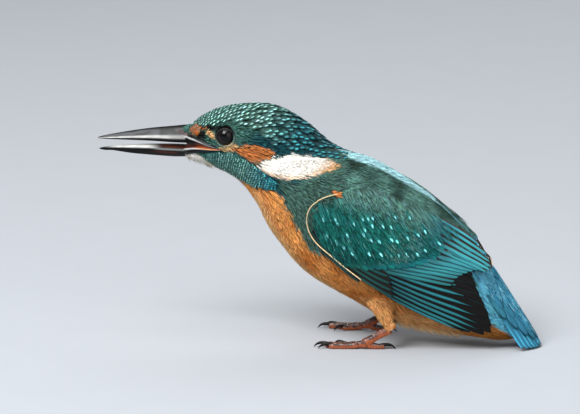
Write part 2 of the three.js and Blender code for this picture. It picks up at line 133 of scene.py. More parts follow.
def srgb(red, green, blue):
    """An sRGB colour from 0 to 255 as linear light."""
    c = np.array([red, green, blue]) / 255
    return np.where(c <= 0.04045, c / 12.92, ((c + 0.055) / 1.055) ** 2.4)


CROWN_DARK = srgb(50, 84, 76)
CROWN_BAR = srgb(176, 236, 226)
NAPE_BLUE = srgb(10, 52, 58)
NAPE_SPOT = srgb(58, 172, 182)
FACE_GREEN = srgb(60, 102, 92)
HEAD_SIDE = srgb(18, 70, 78)
BUFF = srgb(222, 178, 124)
EAR_ORANGE = srgb(196, 118, 62)
PATCH_WHITE = srgb(255, 248, 236)
PATCH_BUFF = srgb(214, 156, 92)
MALAR_TEAL = srgb(40, 88, 82)
MALAR_BAR = srgb(160, 214, 202)
MALAR_BLUE = srgb(10, 60, 72)
THROAT_CREAM = srgb(240, 222, 194)
ORANGE = srgb(226, 154, 84)
ORANGE_DEEP = srgb(196, 116, 48)
ORANGE_PALE = srgb(238, 196, 142)
VENT_BROWN = srgb(176, 112, 44)
SIDE_GREY = srgb(70, 104, 94)
MANTLE_GREEN = srgb(40, 66, 56)
SCAPULAR_GREEN = srgb(98, 146, 136)
STRIPE_CYAN = srgb(176, 226, 234)
RUMP_BLUE = srgb(112, 200, 228)
TAIL_BLUE = srgb(70, 160, 194)
STREAK_DARK = srgb(36, 116, 152)
TAIL_TURQUOISE = srgb(74, 174, 208)
COVERT_TEAL = srgb(8, 90, 84)
COVERT_REAR = srgb(6, 100, 104)
SPOT_CYAN = srgb(140, 236, 238)
FLIGHT_TEAL = srgb(40, 122, 128)
FLIGHT_DARK = srgb(11, 9, 8)
TERTIAL_TEAL = srgb(56, 146, 154)
TERTIAL_BROWN = srgb(50, 42, 38)
EDGE_CREAM = srgb(236, 210, 162)
LORE_DARK = srgb(16, 18, 18)
LORE_BRIGHT = srgb(176, 96, 40)
GAPE_BROWN = srgb(112, 52, 32)
FOOT_BROWN = srgb(104, 56, 42)
LID_GREY = srgb(112, 124, 112)

# ---------------------------------------------------------------- small numeric helpers


def smoothstep(low, high, value):
    t = np.clip((value - low) / (high - low), 0, 1)
    return t * t * (3 - 2 * t)


def unit(vectors):
    return vectors / np.maximum(np.linalg.norm(vectors, axis=-1, keepdims=True), 1e-9)


def mix(a, b, share):
    return a + (b - a) * np.asarray(share)[..., None]


def curve(values, place):
    """Evenly spaced values read by a smooth curve; values are numbers or points."""
    values = np.asarray(values, float)
    place = np.clip(place, 0, len(values) - 1 - 1e-9)
    i = np.floor(place).astype(int)
    t = place - i
    if values.ndim > 1:
        t = t[..., None]
    before, after = np.maximum(i - 1, 0), np.minimum(i + 2, len(values) - 1)
    p0, p1, p2, p3 = values[before], values[i], values[i + 1], values[after]
    v0, v1 = (p2 - p0) / 2, (p3 - p1) / 2
    start, end = 2 * t**3 - 3 * t**2 + 1, -2 * t**3 + 3 * t**2
    return start * p1 + (t**3 - 2 * t**2 + t) * v0 + end * p2 + (t**3 - t**2) * v1


def along_line(line, shares):
    """Points of a polyline at shares of its length, smoothed."""
    line = np.asarray(line, float)
    steps = np.r_[0, np.cumsum(np.linalg.norm(np.diff(line, axis=0), axis=1))]
    place = np.interp(np.asarray(shares) * steps[-1], steps, np.arange(len(line)))
    return curve(line, place)


HASH_PRIMES = (73856093, 19349663, 83492791)
HASH_MIXERS = (2654435761, 2246822519)


def noise(points, size, seed=0):
    """Smooth noise from -1 to 1 over points, with features about this size across."""
    place = points / size + 31.7 * (seed + 1)
    cell = np.floor(place).astype(np.int64)
    part = place - cell
    part = part * part * (3 - 2 * part)
    total = np.zeros(len(points))
    for corner in np.ndindex(2, 2, 2):
        key = np.bitwise_xor.reduce((cell + corner) * HASH_PRIMES, axis=1)
        key = (key * HASH_MIXERS[0]) & 0xFFFFFFFF
        key = ((key ^ (key >> 15)) * HASH_MIXERS[1]) & 0xFFFFFFFF
        weight = np.prod(np.where(corner, part, 1 - part), axis=1)
        total += weight * ((key >> 8) & 0xFFFF) / 32768
    return total - 1


def signed_distance(outline, x, z):
    """Distance to a closed outline, negative inside."""
    corners = np.asarray(outline, float)
    nearest = np.full(len(x), 1e9)
    odd = np.zeros(len(x), bool)
    for (x0, z0), (x1, z1) in zip(corners, np.roll(corners, -1, axis=0)):
        dx, dz = x1 - x0, z1 - z0
        t = np.clip(((x - x0) * dx + (z - z0) * dz) / (dx * dx + dz * dz), 0, 1)
        nearest = np.minimum(nearest, np.hypot(x - x0 - t * dx, z - z0 - t * dz))
        if dz != 0:
            crosses = (z0 > z) != (z1 > z)
            odd ^= crosses & (x < x0 + (z - z0) * dx / dz)
    return np.where(odd, -nearest, nearest)


def patch(points, outline, soft, wobble, seed):
    """How much of each point lies in an outline seen from the side, with a feathered edge."""
    away = signed_distance(outline, points[:, 0], points[:, 2])
    return 1 - smoothstep(-soft, soft, away + wobble * noise(points, 1.6, seed))


# ---------------------------------------------------------------- surfaces that feathers lie on


class Hull:
    """A closed mesh whose surface can be found from any point."""

    def __init__(self, points, faces):
        self.points, self.faces = points, faces
        self.tree = BVHTree.FromPolygons(points.tolist(), faces.tolist())

    def nearest(self, points):
        found = [self.tree.find_nearest(p) for p in points.tolist()]
        return np.array([f[0] for f in found]), np.array([f[1] for f in found])

    def beside(self, x, z, side):
        """The surface point that is seen from one side at each (x, z)."""
        away, towards = side * 60, Vector((0, -side, 0))
        found = [self.tree.ray_cast((a, away, b), towards) for a, b in zip(x, z)]
        return np.array([hit if hit else (a, 0, b) for (hit, *_), a, b in zip(found, x, z)], float)


def on_wing_plane(points):
    """Along and across for points in space."""
    c, s = math.cos(WING["slope"]), math.sin(WING["slope"])
    x, z = points[:, 0] - WING["x"], points[:, 2] - WING["z"]
    return x * c - z * s, x * s + z * c


def wing_out(along, across):
    """How far out the folded wing's surface lies."""
    width = curve(WING_HALF_WIDTH, along / WING_STEP)
    rise = curve(WING_RISE, along / WING_STEP)
    arc = np.where(across > WING_WIDEST, rise, WING_FALL)
    turn = np.clip((across - WING_WIDEST) / arc, -0.97, 0.97)
    return width * np.sqrt(1 - turn**2)


def wing_points(along, across, side):
    """Points of the folded wing's surface."""
    c, s = math.cos(WING["slope"]), math.sin(WING["slope"])
    along, across = np.asarray(along, float), np.asarray(across, float)
    x = WING["x"] + along * c + across * s
    z = WING["z"] - along * s + across * c
    return np.stack([x, side * wing_out(along, across), z], axis=-1)


class WingSurface:
    """The folded wing's surface on one side, as its plane's own formula."""

    def __init__(self, side):
        self.side = side

    def nearest(self, points):
        along, across = on_wing_plane(points)
        here = wing_points(along, across, self.side)
        step = 0.2
        forward = wing_points(along + step, across, self.side) - here
        upward = wing_points(along, across + step, self.side) - here
        return here, unit(np.cross(upward, forward) * self.side)


# ---------------------------------------------------------------- feathers


class Coat:
    """Feathers gathered for one mesh."""

    def __init__(self):
        self.points, self.faces, self.coat, self.mark = [], [], [], []
        self.vane, self.bake, self.material = [], [], []
        self.count = 0

    def add(self, points, faces, coat, mark, vane, bake, material):
        """points [n, v, 3], faces [f, 3], coat [n, 4], mark [n, 4], vane [n, v, 2], bake [n, v, 2]."""
        n, v = points.shape[:2]
        if n == 0:
            return
        starts = self.count + v * np.arange(n)
        self.points.append(points.reshape(-1, 3))
        self.faces.append((faces[None] + starts[:, None, None]).reshape(-1, 3))
        self.coat.append(np.repeat(coat, v, axis=0))
        self.mark.append(np.repeat(mark, v, axis=0))
        self.vane.append(vane.reshape(-1, 2))
        self.bake.append(bake.reshape(-1, 2))
        self.material.append(np.full(n * len(faces), material))
        self.count += n * v


def blade_faces(rings, across):
    """Triangles of a closed blade: rings of points from edge to edge, then its tip."""
    faces = []
    tip = rings * across
    for r in range(rings - 1):
        a, b = r * across, (r + 1) * across
        pairs = [(i, i + 1) for i in range(across - 1)] + [(across - 1, 0)]
        for i, j in pairs:
            faces += [(a + i, b + j, b + i), (a + i, a + j, b + j)]
    last = (rings - 1) * across
    faces += [(last + i, last + i + 1, tip) for i in range(across - 1)] + [(last + across - 1, last, tip)]
    faces += [(0, i + 1, i) for i in range(1, across - 1)]
    return np.array(faces)


# Outlines of feathers: their widths at places from root to tip, and the points across them.
HAIR = {"along": (0, 0.32, 0.66, 0.9), "width": (0.55, 1, 0.8, 0.42), "across": 3}
LEAF = {"along": (0, 0.3, 0.55, 0.75, 0.9), "width": (0.5, 0.95, 1, 0.86, 0.52), "across": 5}
SCALE = {"along": (0, 0.25, 0.5, 0.7, 0.84, 0.95), "width": (0.5, 0.9, 1, 0.95, 0.78, 0.45), "across": 5}
VANE = {
    "along": (0, 0.08, 0.2, 0.35, 0.5, 0.64, 0.76, 0.86, 0.93, 0.975),
    "width": (0.6, 0.85, 0.96, 1, 1, 1, 1, 0.96, 0.84, 0.6),
    "across": 7,
}


def march(surface, roots, ways, length, shape):
    """Centre lines that start at roots and follow a surface: places, normals and ways, ring by ring."""
    place, normal = surface.nearest(roots)
    way = unit(ways - (ways * normal).sum(1, keepdims=True) * normal)
    line, before = [(place, normal, way)], 0
    for share in (*shape["along"][1:], 1):
        place, normal = surface.nearest(place + way * ((share - before) * length)[:, None])
        way = unit(way - (way * normal).sum(1, keepdims=True) * normal)
        line.append((place, normal, way))
        before = share
    return line


def blades(line, width, shape, rise, camber=0.2, tilt=0.0, webs=None, hand=1):
    """Blades round centre lines. rise is the height over the surface at root and tip, and webs gives
    the shares of half the width on the inner and outer side of the shaft, at each place along it."""
    across = shape["across"]
    n = len(line[0][0])
    width = np.broadcast_to(width, n)
    low, high = (np.broadcast_to(r, n) for r in rise)
    spread = np.linspace(-1, 1, across)
    arch = 1 - spread**2
    rows = []
    for (place, normal, way), share, wide in zip(line, (*shape["along"], 1), (*shape["width"], 0)):
        middle = place + normal * (low + (high - low) * share**1.3)[:, None]
        if share == 1:
            rows.append(middle[:, None])
            continue
        side = np.cross(way, normal) * hand
        inner, outer = webs(share) if webs else (1.0, 1.0)
        reach = np.where(spread > 0, spread * outer, spread * inner)[None, :, None]
        half = (wide * width / 2)[:, None, None]
        lift = half * 2 * camber * arch[None, :, None] + tilt * spread[None, :, None]
        rows.append(middle[:, None] + side[:, None] * half * reach + normal[:, None] * lift)
    vane = [((s + 1) / 2, a) for a in shape["along"] for s in spread] + [(0.5, 1)]
    faces = blade_faces(len(shape["along"]), across)
    return np.concatenate(rows, axis=1), faces[:, ::hand], np.array(vane)


# The middle of the body, from the face to the root of the tail, as (x, z).
SPINE = [(-46, 68), (-32, 69), (-20, 66), (-8, 58), (6, 48), (24, 40), (44, 27), (62, 14), (74, 6)]


def unwrapped(points):
    """Where points lie on the skin when it is cut along the belly and laid out flat, from 0 to 1."""
    line = np.asarray(SPINE, float)
    best = np.full(len(points), 1e9)
    along, angle = np.zeros(len(points)), np.zeros(len(points))
    for i, ((x0, z0), (x1, z1)) in enumerate(zip(line[:-1], line[1:])):
        dx, dz = x1 - x0, z1 - z0
        reach = math.hypot(dx, dz)
        t = ((points[:, 0] - x0) * dx + (points[:, 2] - z0) * dz) / reach**2
        t = np.clip(t, 0, 1)
        off_x, off_z = points[:, 0] - x0 - t * dx, points[:, 2] - z0 - t * dz
        gap = np.hypot(off_x, off_z)
        up = (off_x * -dz + off_z * dx) / reach
        turn = np.arctan2(points[:, 1], up)
        closer = gap < best
        best = np.where(closer, gap, best)
        along = np.where(closer, (i + t) / (len(line) - 1), along)
        angle = np.where(closer, 0.5 + turn / (2 * math.pi), angle)
    return np.stack([along, angle], axis=1)


def bake_patches(roots, vane, size):
    """The OFBake coordinates of tufts: a small patch each, at the root's place on the unwrap."""
    at = unwrapped(roots)
    low, high = at.min(0), at.max(0)
    at = 0.02 + 0.96 * (at - low) / np.maximum(high - low, 1e-6)
    return np.clip(at[:, None] + (vane[None] - 0.5) * size, 0, 1)


def lie_of_coat(points):
    """The way that feathers point, before it is laid on the surface."""
    weight = np.zeros(len(points))
    slope = np.zeros(len(points))
    for (x, z), degrees in LIE:
        w = 1 / ((points[:, 0] - x) ** 2 + (points[:, 2] - z) ** 2 + 4) ** 1.5
        weight += w
        slope += w * degrees
    slope = np.radians(slope / weight)
    return np.stack([np.cos(slope), np.zeros(len(points)), -np.sin(slope)], axis=1)


def heel_of(name, side):
    """The middle of a heel."""
    return np.array([LEG["heel_x"] - FOOT_FORWARD[name], side * LEG["out"], LEG["heel_z"]])


def underparts_colour(x, y, z, blotch):
    """Orange, paler on the belly and the thighs, browner under the tail and darker towards it as painted
    shade.
    """
    orange = mix(ORANGE, ORANGE_DEEP, smoothstep(-0.4, 0.9, blotch))
    pale = 0.25 * smoothstep(10, 17, x) * (1 - smoothstep(24, 33, x)) * (z < 18)
    pale = np.maximum(pale, 0.3 * (z < 12) * smoothstep(20, 30, x) * (x < 50))
    orange = mix(orange, ORANGE_PALE, pale)
    # Painted shade: the vent's own brown darkens further back, under the wing tips and the tail.
    shaded_vent = VENT_BROWN * (1 - 0.6 * smoothstep(57, 64, x))[:, None]
    orange = mix(orange, shaded_vent, 0.7 * smoothstep(46, 58, x))
    return mix(orange, ORANGE_PALE, 0.75 * (1 - smoothstep(4, 11, y)) * (1 - smoothstep(2, 12, x)))


def ear_colour(x, z):
    """Orange, greyer along its lower edge."""
    over_edge = z - np.interp(x, [-27, -22, -16], [66, 63, 64])
    return mix(EAR_ORANGE, SIDE_GREY, 0.6 * smoothstep(1.6, 0.2, over_edge))


def patch_colour(x, z):
    """White, buff to the rear and along its lower edge."""
    white = mix(PATCH_WHITE, PATCH_BUFF, smoothstep(-2.0, 6.0, x - 0.75 * (z - 62.5)))
    over_edge = z - np.interp(x, [-15, -7, 2], [59.8, 58.4, 61])
    return mix(white, PATCH_BUFF, 0.55 * (1 - smoothstep(0.2, 1.7, over_edge)))


def plumage(points):
    """The colour of the coat and of the skin under it, at any point."""
    x, y, z = points[:, 0], np.abs(points[:, 1]), points[:, 2]
    blotch = noise(points, 5, 11)
    colour = mix(CROWN_DARK, NAPE_BLUE, smoothstep(-22, -8, x))
    below_crown = (1 - smoothstep(73, 78, z + 0.35 * x + 8)) * (x < 4)
    side = mix(FACE_GREEN, HEAD_SIDE, smoothstep(-27, -17, x + 0.8 * (72 - z)))
    colour = mix(colour, side, below_crown)
    mantle = mix(MANTLE_GREEN, SCAPULAR_GREEN, smoothstep(-0.6, 0.9, blotch + 0.05 * (y - 8)))
    colour = mix(colour, mantle, smoothstep(3, 7, x + 0.4 * (70 - z)))
    throat = mix(PATCH_WHITE, THROAT_CREAM, smoothstep(-42, -36, x))
    throat = mix(throat, ORANGE, smoothstep(-31, -25, x))
    malar = mix(MALAR_TEAL, MALAR_BLUE, smoothstep(-27, -15, x))
    # Each marking: its outline, its colour and strength, how soft its edge is, how far the edge
    # strays, and the seed of that.
    for outline, own, strength, *edge in (
        (NECK_SIDE, SIDE_GREY, 1, 1.2, 1.2, 2),
        (UNDERPARTS, underparts_colour(x, y, z, blotch), 1, 0.7, 1.2, 3),
        (THROAT, throat, 1, 0.5, 0.5, 4),
        (MALAR, malar, 1, 0.4, 0.5, 5),
        (EAR_PATCH, ear_colour(x, z), 1, 0.4, 0.6, 6),
        (EAR_CREAM, BUFF, 0.9, 0.5, 0.6, 12),
        (NECK_PATCH, patch_colour(x, z), 1, 0.4, 0.5, 7),
        (LORE_BLACK, LORE_DARK, 1, 0.3, 0.2, 8),
        (EYE_LINE, LORE_DARK, 0.95, 0.3, 0.2, 13),
        (LORE_ORANGE, LORE_BRIGHT, smoothstep(1.9, 2.7, y), 0.35, 0.6, 9),
        (LORE_CREAM, BUFF, 1, 0.3, 0.2, 10),
    ):
        colour = mix(colour, own, strength * patch(points, outline, *edge))
    for name, side in SIDES.items():
        from_heel = np.linalg.norm(points - heel_of(name, side), axis=1)
        colour = mix(colour, FOOT_BROWN, 1 - smoothstep(2.6, 3.4, from_heel))
    # Painted shade: the skin in the mouth, between the mandibles, is painted near black.
    colour = mix(colour, GAPE_BROWN * 0.3, (signed_distance(MOUTH, x, z) < 0) & (x < -40))
    return mix(colour, back_colour(x), on_back_stripe(x, y, z))


def on_back_stripe(x, y, z):
    """How much of a point lies on the blue stripe along the back, rump and tail."""
    half = np.interp(x, [6, 10, 16, 30, 37, 42, 54, 56, 58], [2, 4.8, 4.4, 3.4, 1.9, 0.5, 0.5, 12, 20])
    above = z > np.interp(x, [8, 54, 58, 61, 69], [66, 20, 13, 9.5, 2])
    return (1 - smoothstep(half - 0.8, half + 0.5, y)) * smoothstep(5, 9, x) * above


def back_colour(x):
    """The blue of the back and rump, by how far back it is."""
    return mix(mix(STRIPE_CYAN, RUMP_BLUE, smoothstep(36, 50, x)), TAIL_BLUE, smoothstep(60, 72, x))


# ---------------------------------------------------------------- materials


def nodes_of(name, roughness, gloss=0.5):
    """A new material with a principled shader, its roughness and its specular level."""
    material = bpy.data.materials.new(name)
    material.use_nodes = True
    shader = material.node_tree.nodes["Principled BSDF"]
    shader.inputs["Roughness"].default_value = roughness
    shader.inputs["Specular IOR Level"].default_value = gloss
    return material, material.node_tree, shader


def node(tree, kind, inputs=(), **settings):
    """A node with settings, and inputs given by place or name, as values or sockets."""
    made = tree.nodes.new(kind)
    for key, value in settings.items():
        setattr(made, key, value)
    for key, value in dict(inputs).items():
        if isinstance(value, bpy.types.NodeSocket):
            tree.links.new(value, made.inputs[key])
        else:
            made.inputs[key].default_value = value
    return made


def maths(tree, operation, a, b=0.0, c=0.0):
    return node(tree, "ShaderNodeMath", {0: a, 1: b, 2: c}, operation=operation).outputs[0]


def tinted(tree, factor, a, b, blend="MIX"):
    """Colour a changed to b by a factor."""
    made = node(tree, "ShaderNodeMix", {0: factor, 6: a, 7: b}, data_type="RGBA", blend_type=blend)
    return made.outputs[2]


def ramp(tree, value, low, high, to_low=0.0, to_high=1.0):
    """A smooth change from to_low to to_high as value goes from low to high."""
    inputs = {0: value, 1: low, 2: high, 3: to_low, 4: to_high}
    return node(tree, "ShaderNodeMapRange", inputs, interpolation_type="SMOOTHSTEP").outputs[0]


def greyed(tree, shade):
    """A grey as bright as a shade."""
    return node(tree, "ShaderNodeCombineColor", {0: shade, 1: shade, 2: shade}).outputs[0]


def finished(tree, shader, colour, grey, height, strength, distance):
    """Colour darkened by a grey, and a bump from a height."""
    tree.links.new(tinted(tree, 1.0, colour, grey, "MULTIPLY"), shader.inputs["Base Color"])
    bump = node(tree, "ShaderNodeBump", {"Strength": strength, "Distance": distance, "Height": height})
    tree.links.new(bump.outputs[0], shader.inputs["Normal"])


def feather_material(name, roughness, pattern, gloss=0.2):
    """Feathers: the coat's colour, darkened at the root as painted shade, streaked by barbs, and a
    pattern over the vane. The coat's alpha is how strong that painted shade at the root is."""
    material, tree, shader = nodes_of(name, roughness, gloss)
    coat = node(tree, "ShaderNodeAttribute", attribute_name="coat")
    mark = node(tree, "ShaderNodeAttribute", attribute_name="mark")
    vane = node(tree, "ShaderNodeUVMap", uv_map="vane").outputs[0]
    split = node(tree, "ShaderNodeSeparateXYZ", {0: vane})
    across, along = split.outputs[0], split.outputs[1]
    off_shaft = maths(tree, "ABSOLUTE", maths(tree, "SUBTRACT", across, 0.5))
    shown = pattern(tree, across, along, off_shaft)
    strength = maths(tree, "MULTIPLY", shown, mark.outputs["Alpha"])
    colour = tinted(tree, strength, coat.outputs["Color"], mark.outputs["Color"])
    own = node(tree, "ShaderNodeSeparateColor", {0: coat.outputs["Color"]}).outputs[1]
    barb = maths(tree, "MULTIPLY", maths(tree, "MULTIPLY_ADD", along, -0.8, off_shaft), 13.0)
    stretched, turned = maths(tree, "MULTIPLY", along, 2.5), maths(tree, "MULTIPLY", own, 90.0)
    place = node(tree, "ShaderNodeCombineXYZ", {0: barb, 1: stretched, 2: turned}).outputs[0]
    barbs = node(tree, "ShaderNodeTexNoise", {"Vector": place, "Scale": 1.0, "Detail": 2.0}).outputs["Fac"]
    # Painted shade: the root, which lies under the overlapping feathers, is darkened.
    root_shade = ramp(tree, along, 0.0, 0.6, 0.45, 1.0)
    shade = maths(tree, "MULTIPLY", root_shade, ramp(tree, barbs, 0.3, 0.7, 0.72, 1.22))
    shaded = tinted(tree, coat.outputs["Alpha"], (1, 1, 1, 1), greyed(tree, shade))
    finished(tree, shader, colour, shaded, barbs, 0.4, 0.00008)
    return material


def plain_pattern(tree, across, along, off_shaft):
    """The edges and the tip."""
    return maths(tree, "MULTIPLY", ramp(tree, off_shaft, 0.1, 0.45), ramp(tree, along, 0.55, 0.95))


def dash_pattern(tree, across, along, off_shaft):
    """A short pale dash that slants back and up, before the tip."""
    from_middle = maths(tree, "SUBTRACT", across, 0.5)
    back = maths(tree, "MULTIPLY_ADD", from_middle, 0.5, along)
    slant = maths(tree, "ABSOLUTE", maths(tree, "SUBTRACT", back, 0.8))
    thin = ramp(tree, slant, 0.05, 0.13, 1.0, 0.0)
    return maths(tree, "MULTIPLY", thin, ramp(tree, off_shaft, 0.15, 0.3, 1.0, 0.0))


def fringe_pattern(tree, across, along, off_shaft):
    """A fine pale bar right across, which follows the curve of the tip."""
    curved = maths(tree, "MULTIPLY_ADD", maths(tree, "MULTIPLY", off_shaft, off_shaft), 0.9, along)
    bar = maths(tree, "ABSOLUTE", maths(tree, "SUBTRACT", curved, 0.86))
    return ramp(tree, bar, 0.03, 0.11, 1.0, 0.0)


def spot_pattern(tree, across, along, off_shaft):
    """A small pale drop near the tip."""
    wide = maths(tree, "MULTIPLY", off_shaft, 4.0)
    long = maths(tree, "MULTIPLY", maths(tree, "SUBTRACT", along, 0.84), 5.4)
    away = maths(tree, "ADD", maths(tree, "MULTIPLY", wide, wide), maths(tree, "MULTIPLY", long, long))
    return ramp(tree, away, 0.2, 1.2, 1.0, 0.0)


def web_pattern(tree, across, along, off_shaft):
    """A primary: the outer web is coloured, and narrows to a point; the inner web and tip are dark."""
    shaft = maths(tree, "MULTIPLY_ADD", ramp(tree, along, 0.66, 0.96), 0.5, 0.5)
    from_shaft = maths(tree, "SUBTRACT", across, shaft)
    strip = maths(tree, "MULTIPLY", ramp(tree, from_shaft, 0.0, 0.1), ramp(tree, along, 0.86, 0.94, 1.0, 0.0))
    return maths(tree, "MAXIMUM", strip, ramp(tree, off_shaft, 0.46, 0.5, 0.0, 0.14))


def pale_web_pattern(tree, across, along, off_shaft):
    """A secondary: the outer web is coloured out to the tip."""
    return maths(tree, "MULTIPLY", ramp(tree, across, 0.5, 0.6), ramp(tree, along, 0.95, 1.0, 1.0, 0.5))


def shell_material(name, roughness, bump_scale, bump_size, gloss, stretch=(1, 1, 1)):
    """Skin, horn or scales: painted by an attribute, with a fine mottled grain."""
    material, tree, shader = nodes_of(name, roughness, gloss)
    painted = node(tree, "ShaderNodeAttribute", attribute_name="paint").outputs["Color"]
    place = node(tree, "ShaderNodeTexCoord").outputs["Object"]
    place = node(tree, "ShaderNodeMapping", {"Vector": place, "Scale": stretch}).outputs[0]
    inputs = {"Vector": place, "Scale": bump_scale, "Detail": 3.0}
    grain = node(tree, "ShaderNodeTexNoise", inputs).outputs["Fac"]
    rough = ramp(tree, grain, 0.2, 0.8, roughness * 0.8, roughness * 1.25)
    tree.links.new(rough, shader.inputs["Roughness"])
    shade = greyed(tree, ramp(tree, grain, 0.3, 0.7, 0.78, 1.15))
    finished(tree, shader, painted, shade, grain, 0.5, bump_size)
    return material


FEATHERS = [
    feather_material("soft feather", 0.75, plain_pattern, 0.15),
    feather_material("dashed feather", 0.65, dash_pattern),
    feather_material("fringed feather", 0.65, fringe_pattern),
    feather_material("spotted feather", 0.6, spot_pattern),
    feather_material("flight feather", 0.55, web_pattern, 0.16),
    feather_material("secondary feather", 0.5, pale_web_pattern, 0.25),
]
SOFT, DASHED, FRINGED, SPOTTED, FLIGHT, FLIGHT_PALE = range(len(FEATHERS))
HORN = shell_material("horn", 0.34, 900.0, 0.00005, 0.12, (0.25, 1, 1))
FOOT = shell_material("foot skin", 0.34, 1500.0, 0.00006, 0.5)
SKIN = shell_material("skin", 0.7, 1200.0, 0.00004, 0.25)
EYE_GLOSS = shell_material("eye", 0.09, 300.0, 0.0, 0.22)

# ---------------------------------------------------------------- meshes


def with_alpha(colours, alpha):
    """Colours and an alpha: one number, or one for each."""
    alpha = np.broadcast_to(alpha, len(colours))
    return np.concatenate([np.clip(colours, 0, 1), alpha[:, None]], axis=1)


def set_colour(mesh, name, colours):
    layer = mesh.color_attributes.new(name, "FLOAT_COLOR", "POINT")
    layer.data.foreach_set("color", np.asarray(colours, np.float32).ravel())


def set_uv(mesh, name, places, corners):
    layer = mesh.uv_layers.new(name=name)
    layer.data.foreach_set("uv", np.asarray(places[corners], np.float32).ravel())


def new_mesh(name, points, faces):
    """A mesh from points in millimetres and triangles."""
    mesh = bpy.data.meshes.new(name)
    faces = np.asarray(faces, np.int32)
    mesh.vertices.add(len(points))
    mesh.vertices.foreach_set("co", np.asarray(points * MM, np.float32).ravel())
    mesh.loops.add(faces.size)
    mesh.loops.foreach_set("vertex_index", faces.ravel())
    mesh.polygons.add(len(faces))
    mesh.polygons.foreach_set("loop_start", np.arange(0, faces.size, 3, dtype=np.int32))
    mesh.update(calc_edges=True)
    mesh.polygons.foreach_set("use_smooth", np.full(len(faces), True))
    return mesh


def piece(name, mesh, materials, replaced=()):
    """A mesh as a piece that rides on the bird's one body."""
    made = bpy.data.objects.new(name, mesh)
    bpy.context.scene.collection.objects.link(made)
    for material in materials:
        mesh.materials.append(material)
    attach(made, "root")
    if replaced:
        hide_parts(*replaced)


def coat_piece(name, coat, replaced=()):
    """Gathered feathers as one piece."""
    faces = np.concatenate(coat.faces)
    mesh = new_mesh(name, np.concatenate(coat.points), faces)
    set_colour(mesh, "coat", np.concatenate(coat.coat))
    set_colour(mesh, "mark", np.concatenate(coat.mark))
    corners = faces.ravel()
    set_uv(mesh, "OFBake", np.concatenate(coat.bake), corners)
    set_uv(mesh, "vane", np.concatenate(coat.vane), corners)
    mesh.polygons.foreach_set("material_index", np.concatenate(coat.material).astype(np.int32))
    piece(name, mesh, FEATHERS, replaced)


def read_floats(collection, attribute):
    """An attribute of three numbers, for each item of a mesh's collection."""
    values = np.zeros(len(collection) * 3)
    collection.foreach_get(attribute, values)
    return values.reshape(-1, 3)


def wrapped(names, voxel, smoothing):
    """One smooth closed mesh round CAD nodes: its points in millimetres, its triangles and normals."""
    whole = bmesh.new()
    for name in names:
        whole.from_mesh(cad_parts[name].data)
    mesh = bpy.data.meshes.new("wrapped")
    whole.to_mesh(mesh)
    whole.free()
    holder = bpy.data.objects.new("wrapped", mesh)
    bpy.context.scene.collection.objects.link(holder)
    remesh = holder.modifiers.new("remesh", "REMESH")
    remesh.mode = "VOXEL"
    remesh.voxel_size = voxel * MM
    smooth = holder.modifiers.new("smooth", "SMOOTH")
    smooth.factor, smooth.iterations = 0.5, smoothing
    holder.modifiers.new("triangles", "TRIANGULATE")
    made = holder.evaluated_get(bpy.context.evaluated_depsgraph_get()).to_mesh()
    points, normals = read_floats(made.vertices, "co"), read_floats(made.vertices, "normal")
    faces = np.zeros(len(made.polygons) * 3, np.int32)
    made.polygons.foreach_get("vertices", faces)
    bpy.data.objects.remove(holder)
    bpy.data.meshes.remove(mesh)
    return points / MM, faces.reshape(-1, 3), normals


def tube_faces(rings, sides):
    """Triangles of a closed tube: rings of points, then the middles of its first and last ring."""
    faces = []
    first, last = rings * sides, rings * sides + 1
    end = (rings - 1) * sides
    around = [(i, (i + 1) % sides) for i in range(sides)]
    for a in range(0, end, sides):
        for i, j in around:
            faces += [(a + i, a + sides + i, a + sides + j), (a + i, a + sides + j, a + j)]
    for i, j in around:
        faces += [(first, i, j), (last, end + j, end + i)]
    return np.array(faces)


def tube(line, radii, sides, flat, up):
    """A closed tube along a line, with a radius at each point. flat squashes it along up."""
    way = unit(np.gradient(line, axis=0))
    side = unit(np.cross(way, np.asarray(up, float)))
    top = np.cross(side, way)
    turn = np.linspace(0, 2 * math.pi, sides, endpoint=False)
    ring = side[:, None] * np.cos(turn)[None, :, None] + top[:, None] * np.sin(turn)[None, :, None] * flat
    points = (line[:, None] + ring * radii[:, None, None]).reshape(-1, 3)
    return np.concatenate([points, line[:1], line[-1:]]), tube_faces(len(line), sides)


def tiled(colour, points):
    """One colour for each point."""
    return np.tile(colour, (len(points), 1))


def together(parts):
    """Several (points, faces, colours) as one."""
    counts = np.cumsum([0] + [len(p) for p, _, _ in parts[:-1]])
    points = np.concatenate([p for p, _, _ in parts])
    faces = np.concatenate([f + c for (_, f, _), c in zip(parts, counts)])
    colours = np.concatenate([c for _, _, c in parts])
    return points, faces, colours


def painted_piece(name, points, faces, colours, material, slot, replaced=()):
    """A mesh with a painted colour at each point."""
    mesh = new_mesh(name, points, faces)
    set_colour(mesh, "paint", with_alpha(colours, 1))
    piece(name, mesh, [material], replaced)


# ---------------------------------------------------------------- skin

FLESH = ["head", "neck", "trunk", "rump"]
FLESH += [f"{part}_{side}" for part in ("thigh", "wing_coverts") for side in SIDES]
LID_BLACK = srgb(22, 26, 26)
SKIN_SHADE = 0.55  # how bright the skin is, of the coat over it


def lid_ring(side):
    """The bare rim of the eyelids, lying on the eyeball."""
    turn = np.linspace(0, 2 * math.pi, 49)
    seen = EYE["seen"] * (1 + 0.03 * np.cos(2 * turn))
    deep = np.sqrt(np.maximum(EYE["radius"] ** 2 - seen**2, 0)) + 0.05
    x = EYE["x"] + seen * np.cos(turn) * 1.04
    z = EYE["z"] + seen * np.sin(turn) * 0.97
    line = np.stack([x, side * (EYE["y"] + deep), z], axis=1)
    points, faces = tube(line, np.full(len(line), LID_RIM), 8, 1.0, (0, 1, 0))
    return points, faces, tiled(LID_BLACK, points)


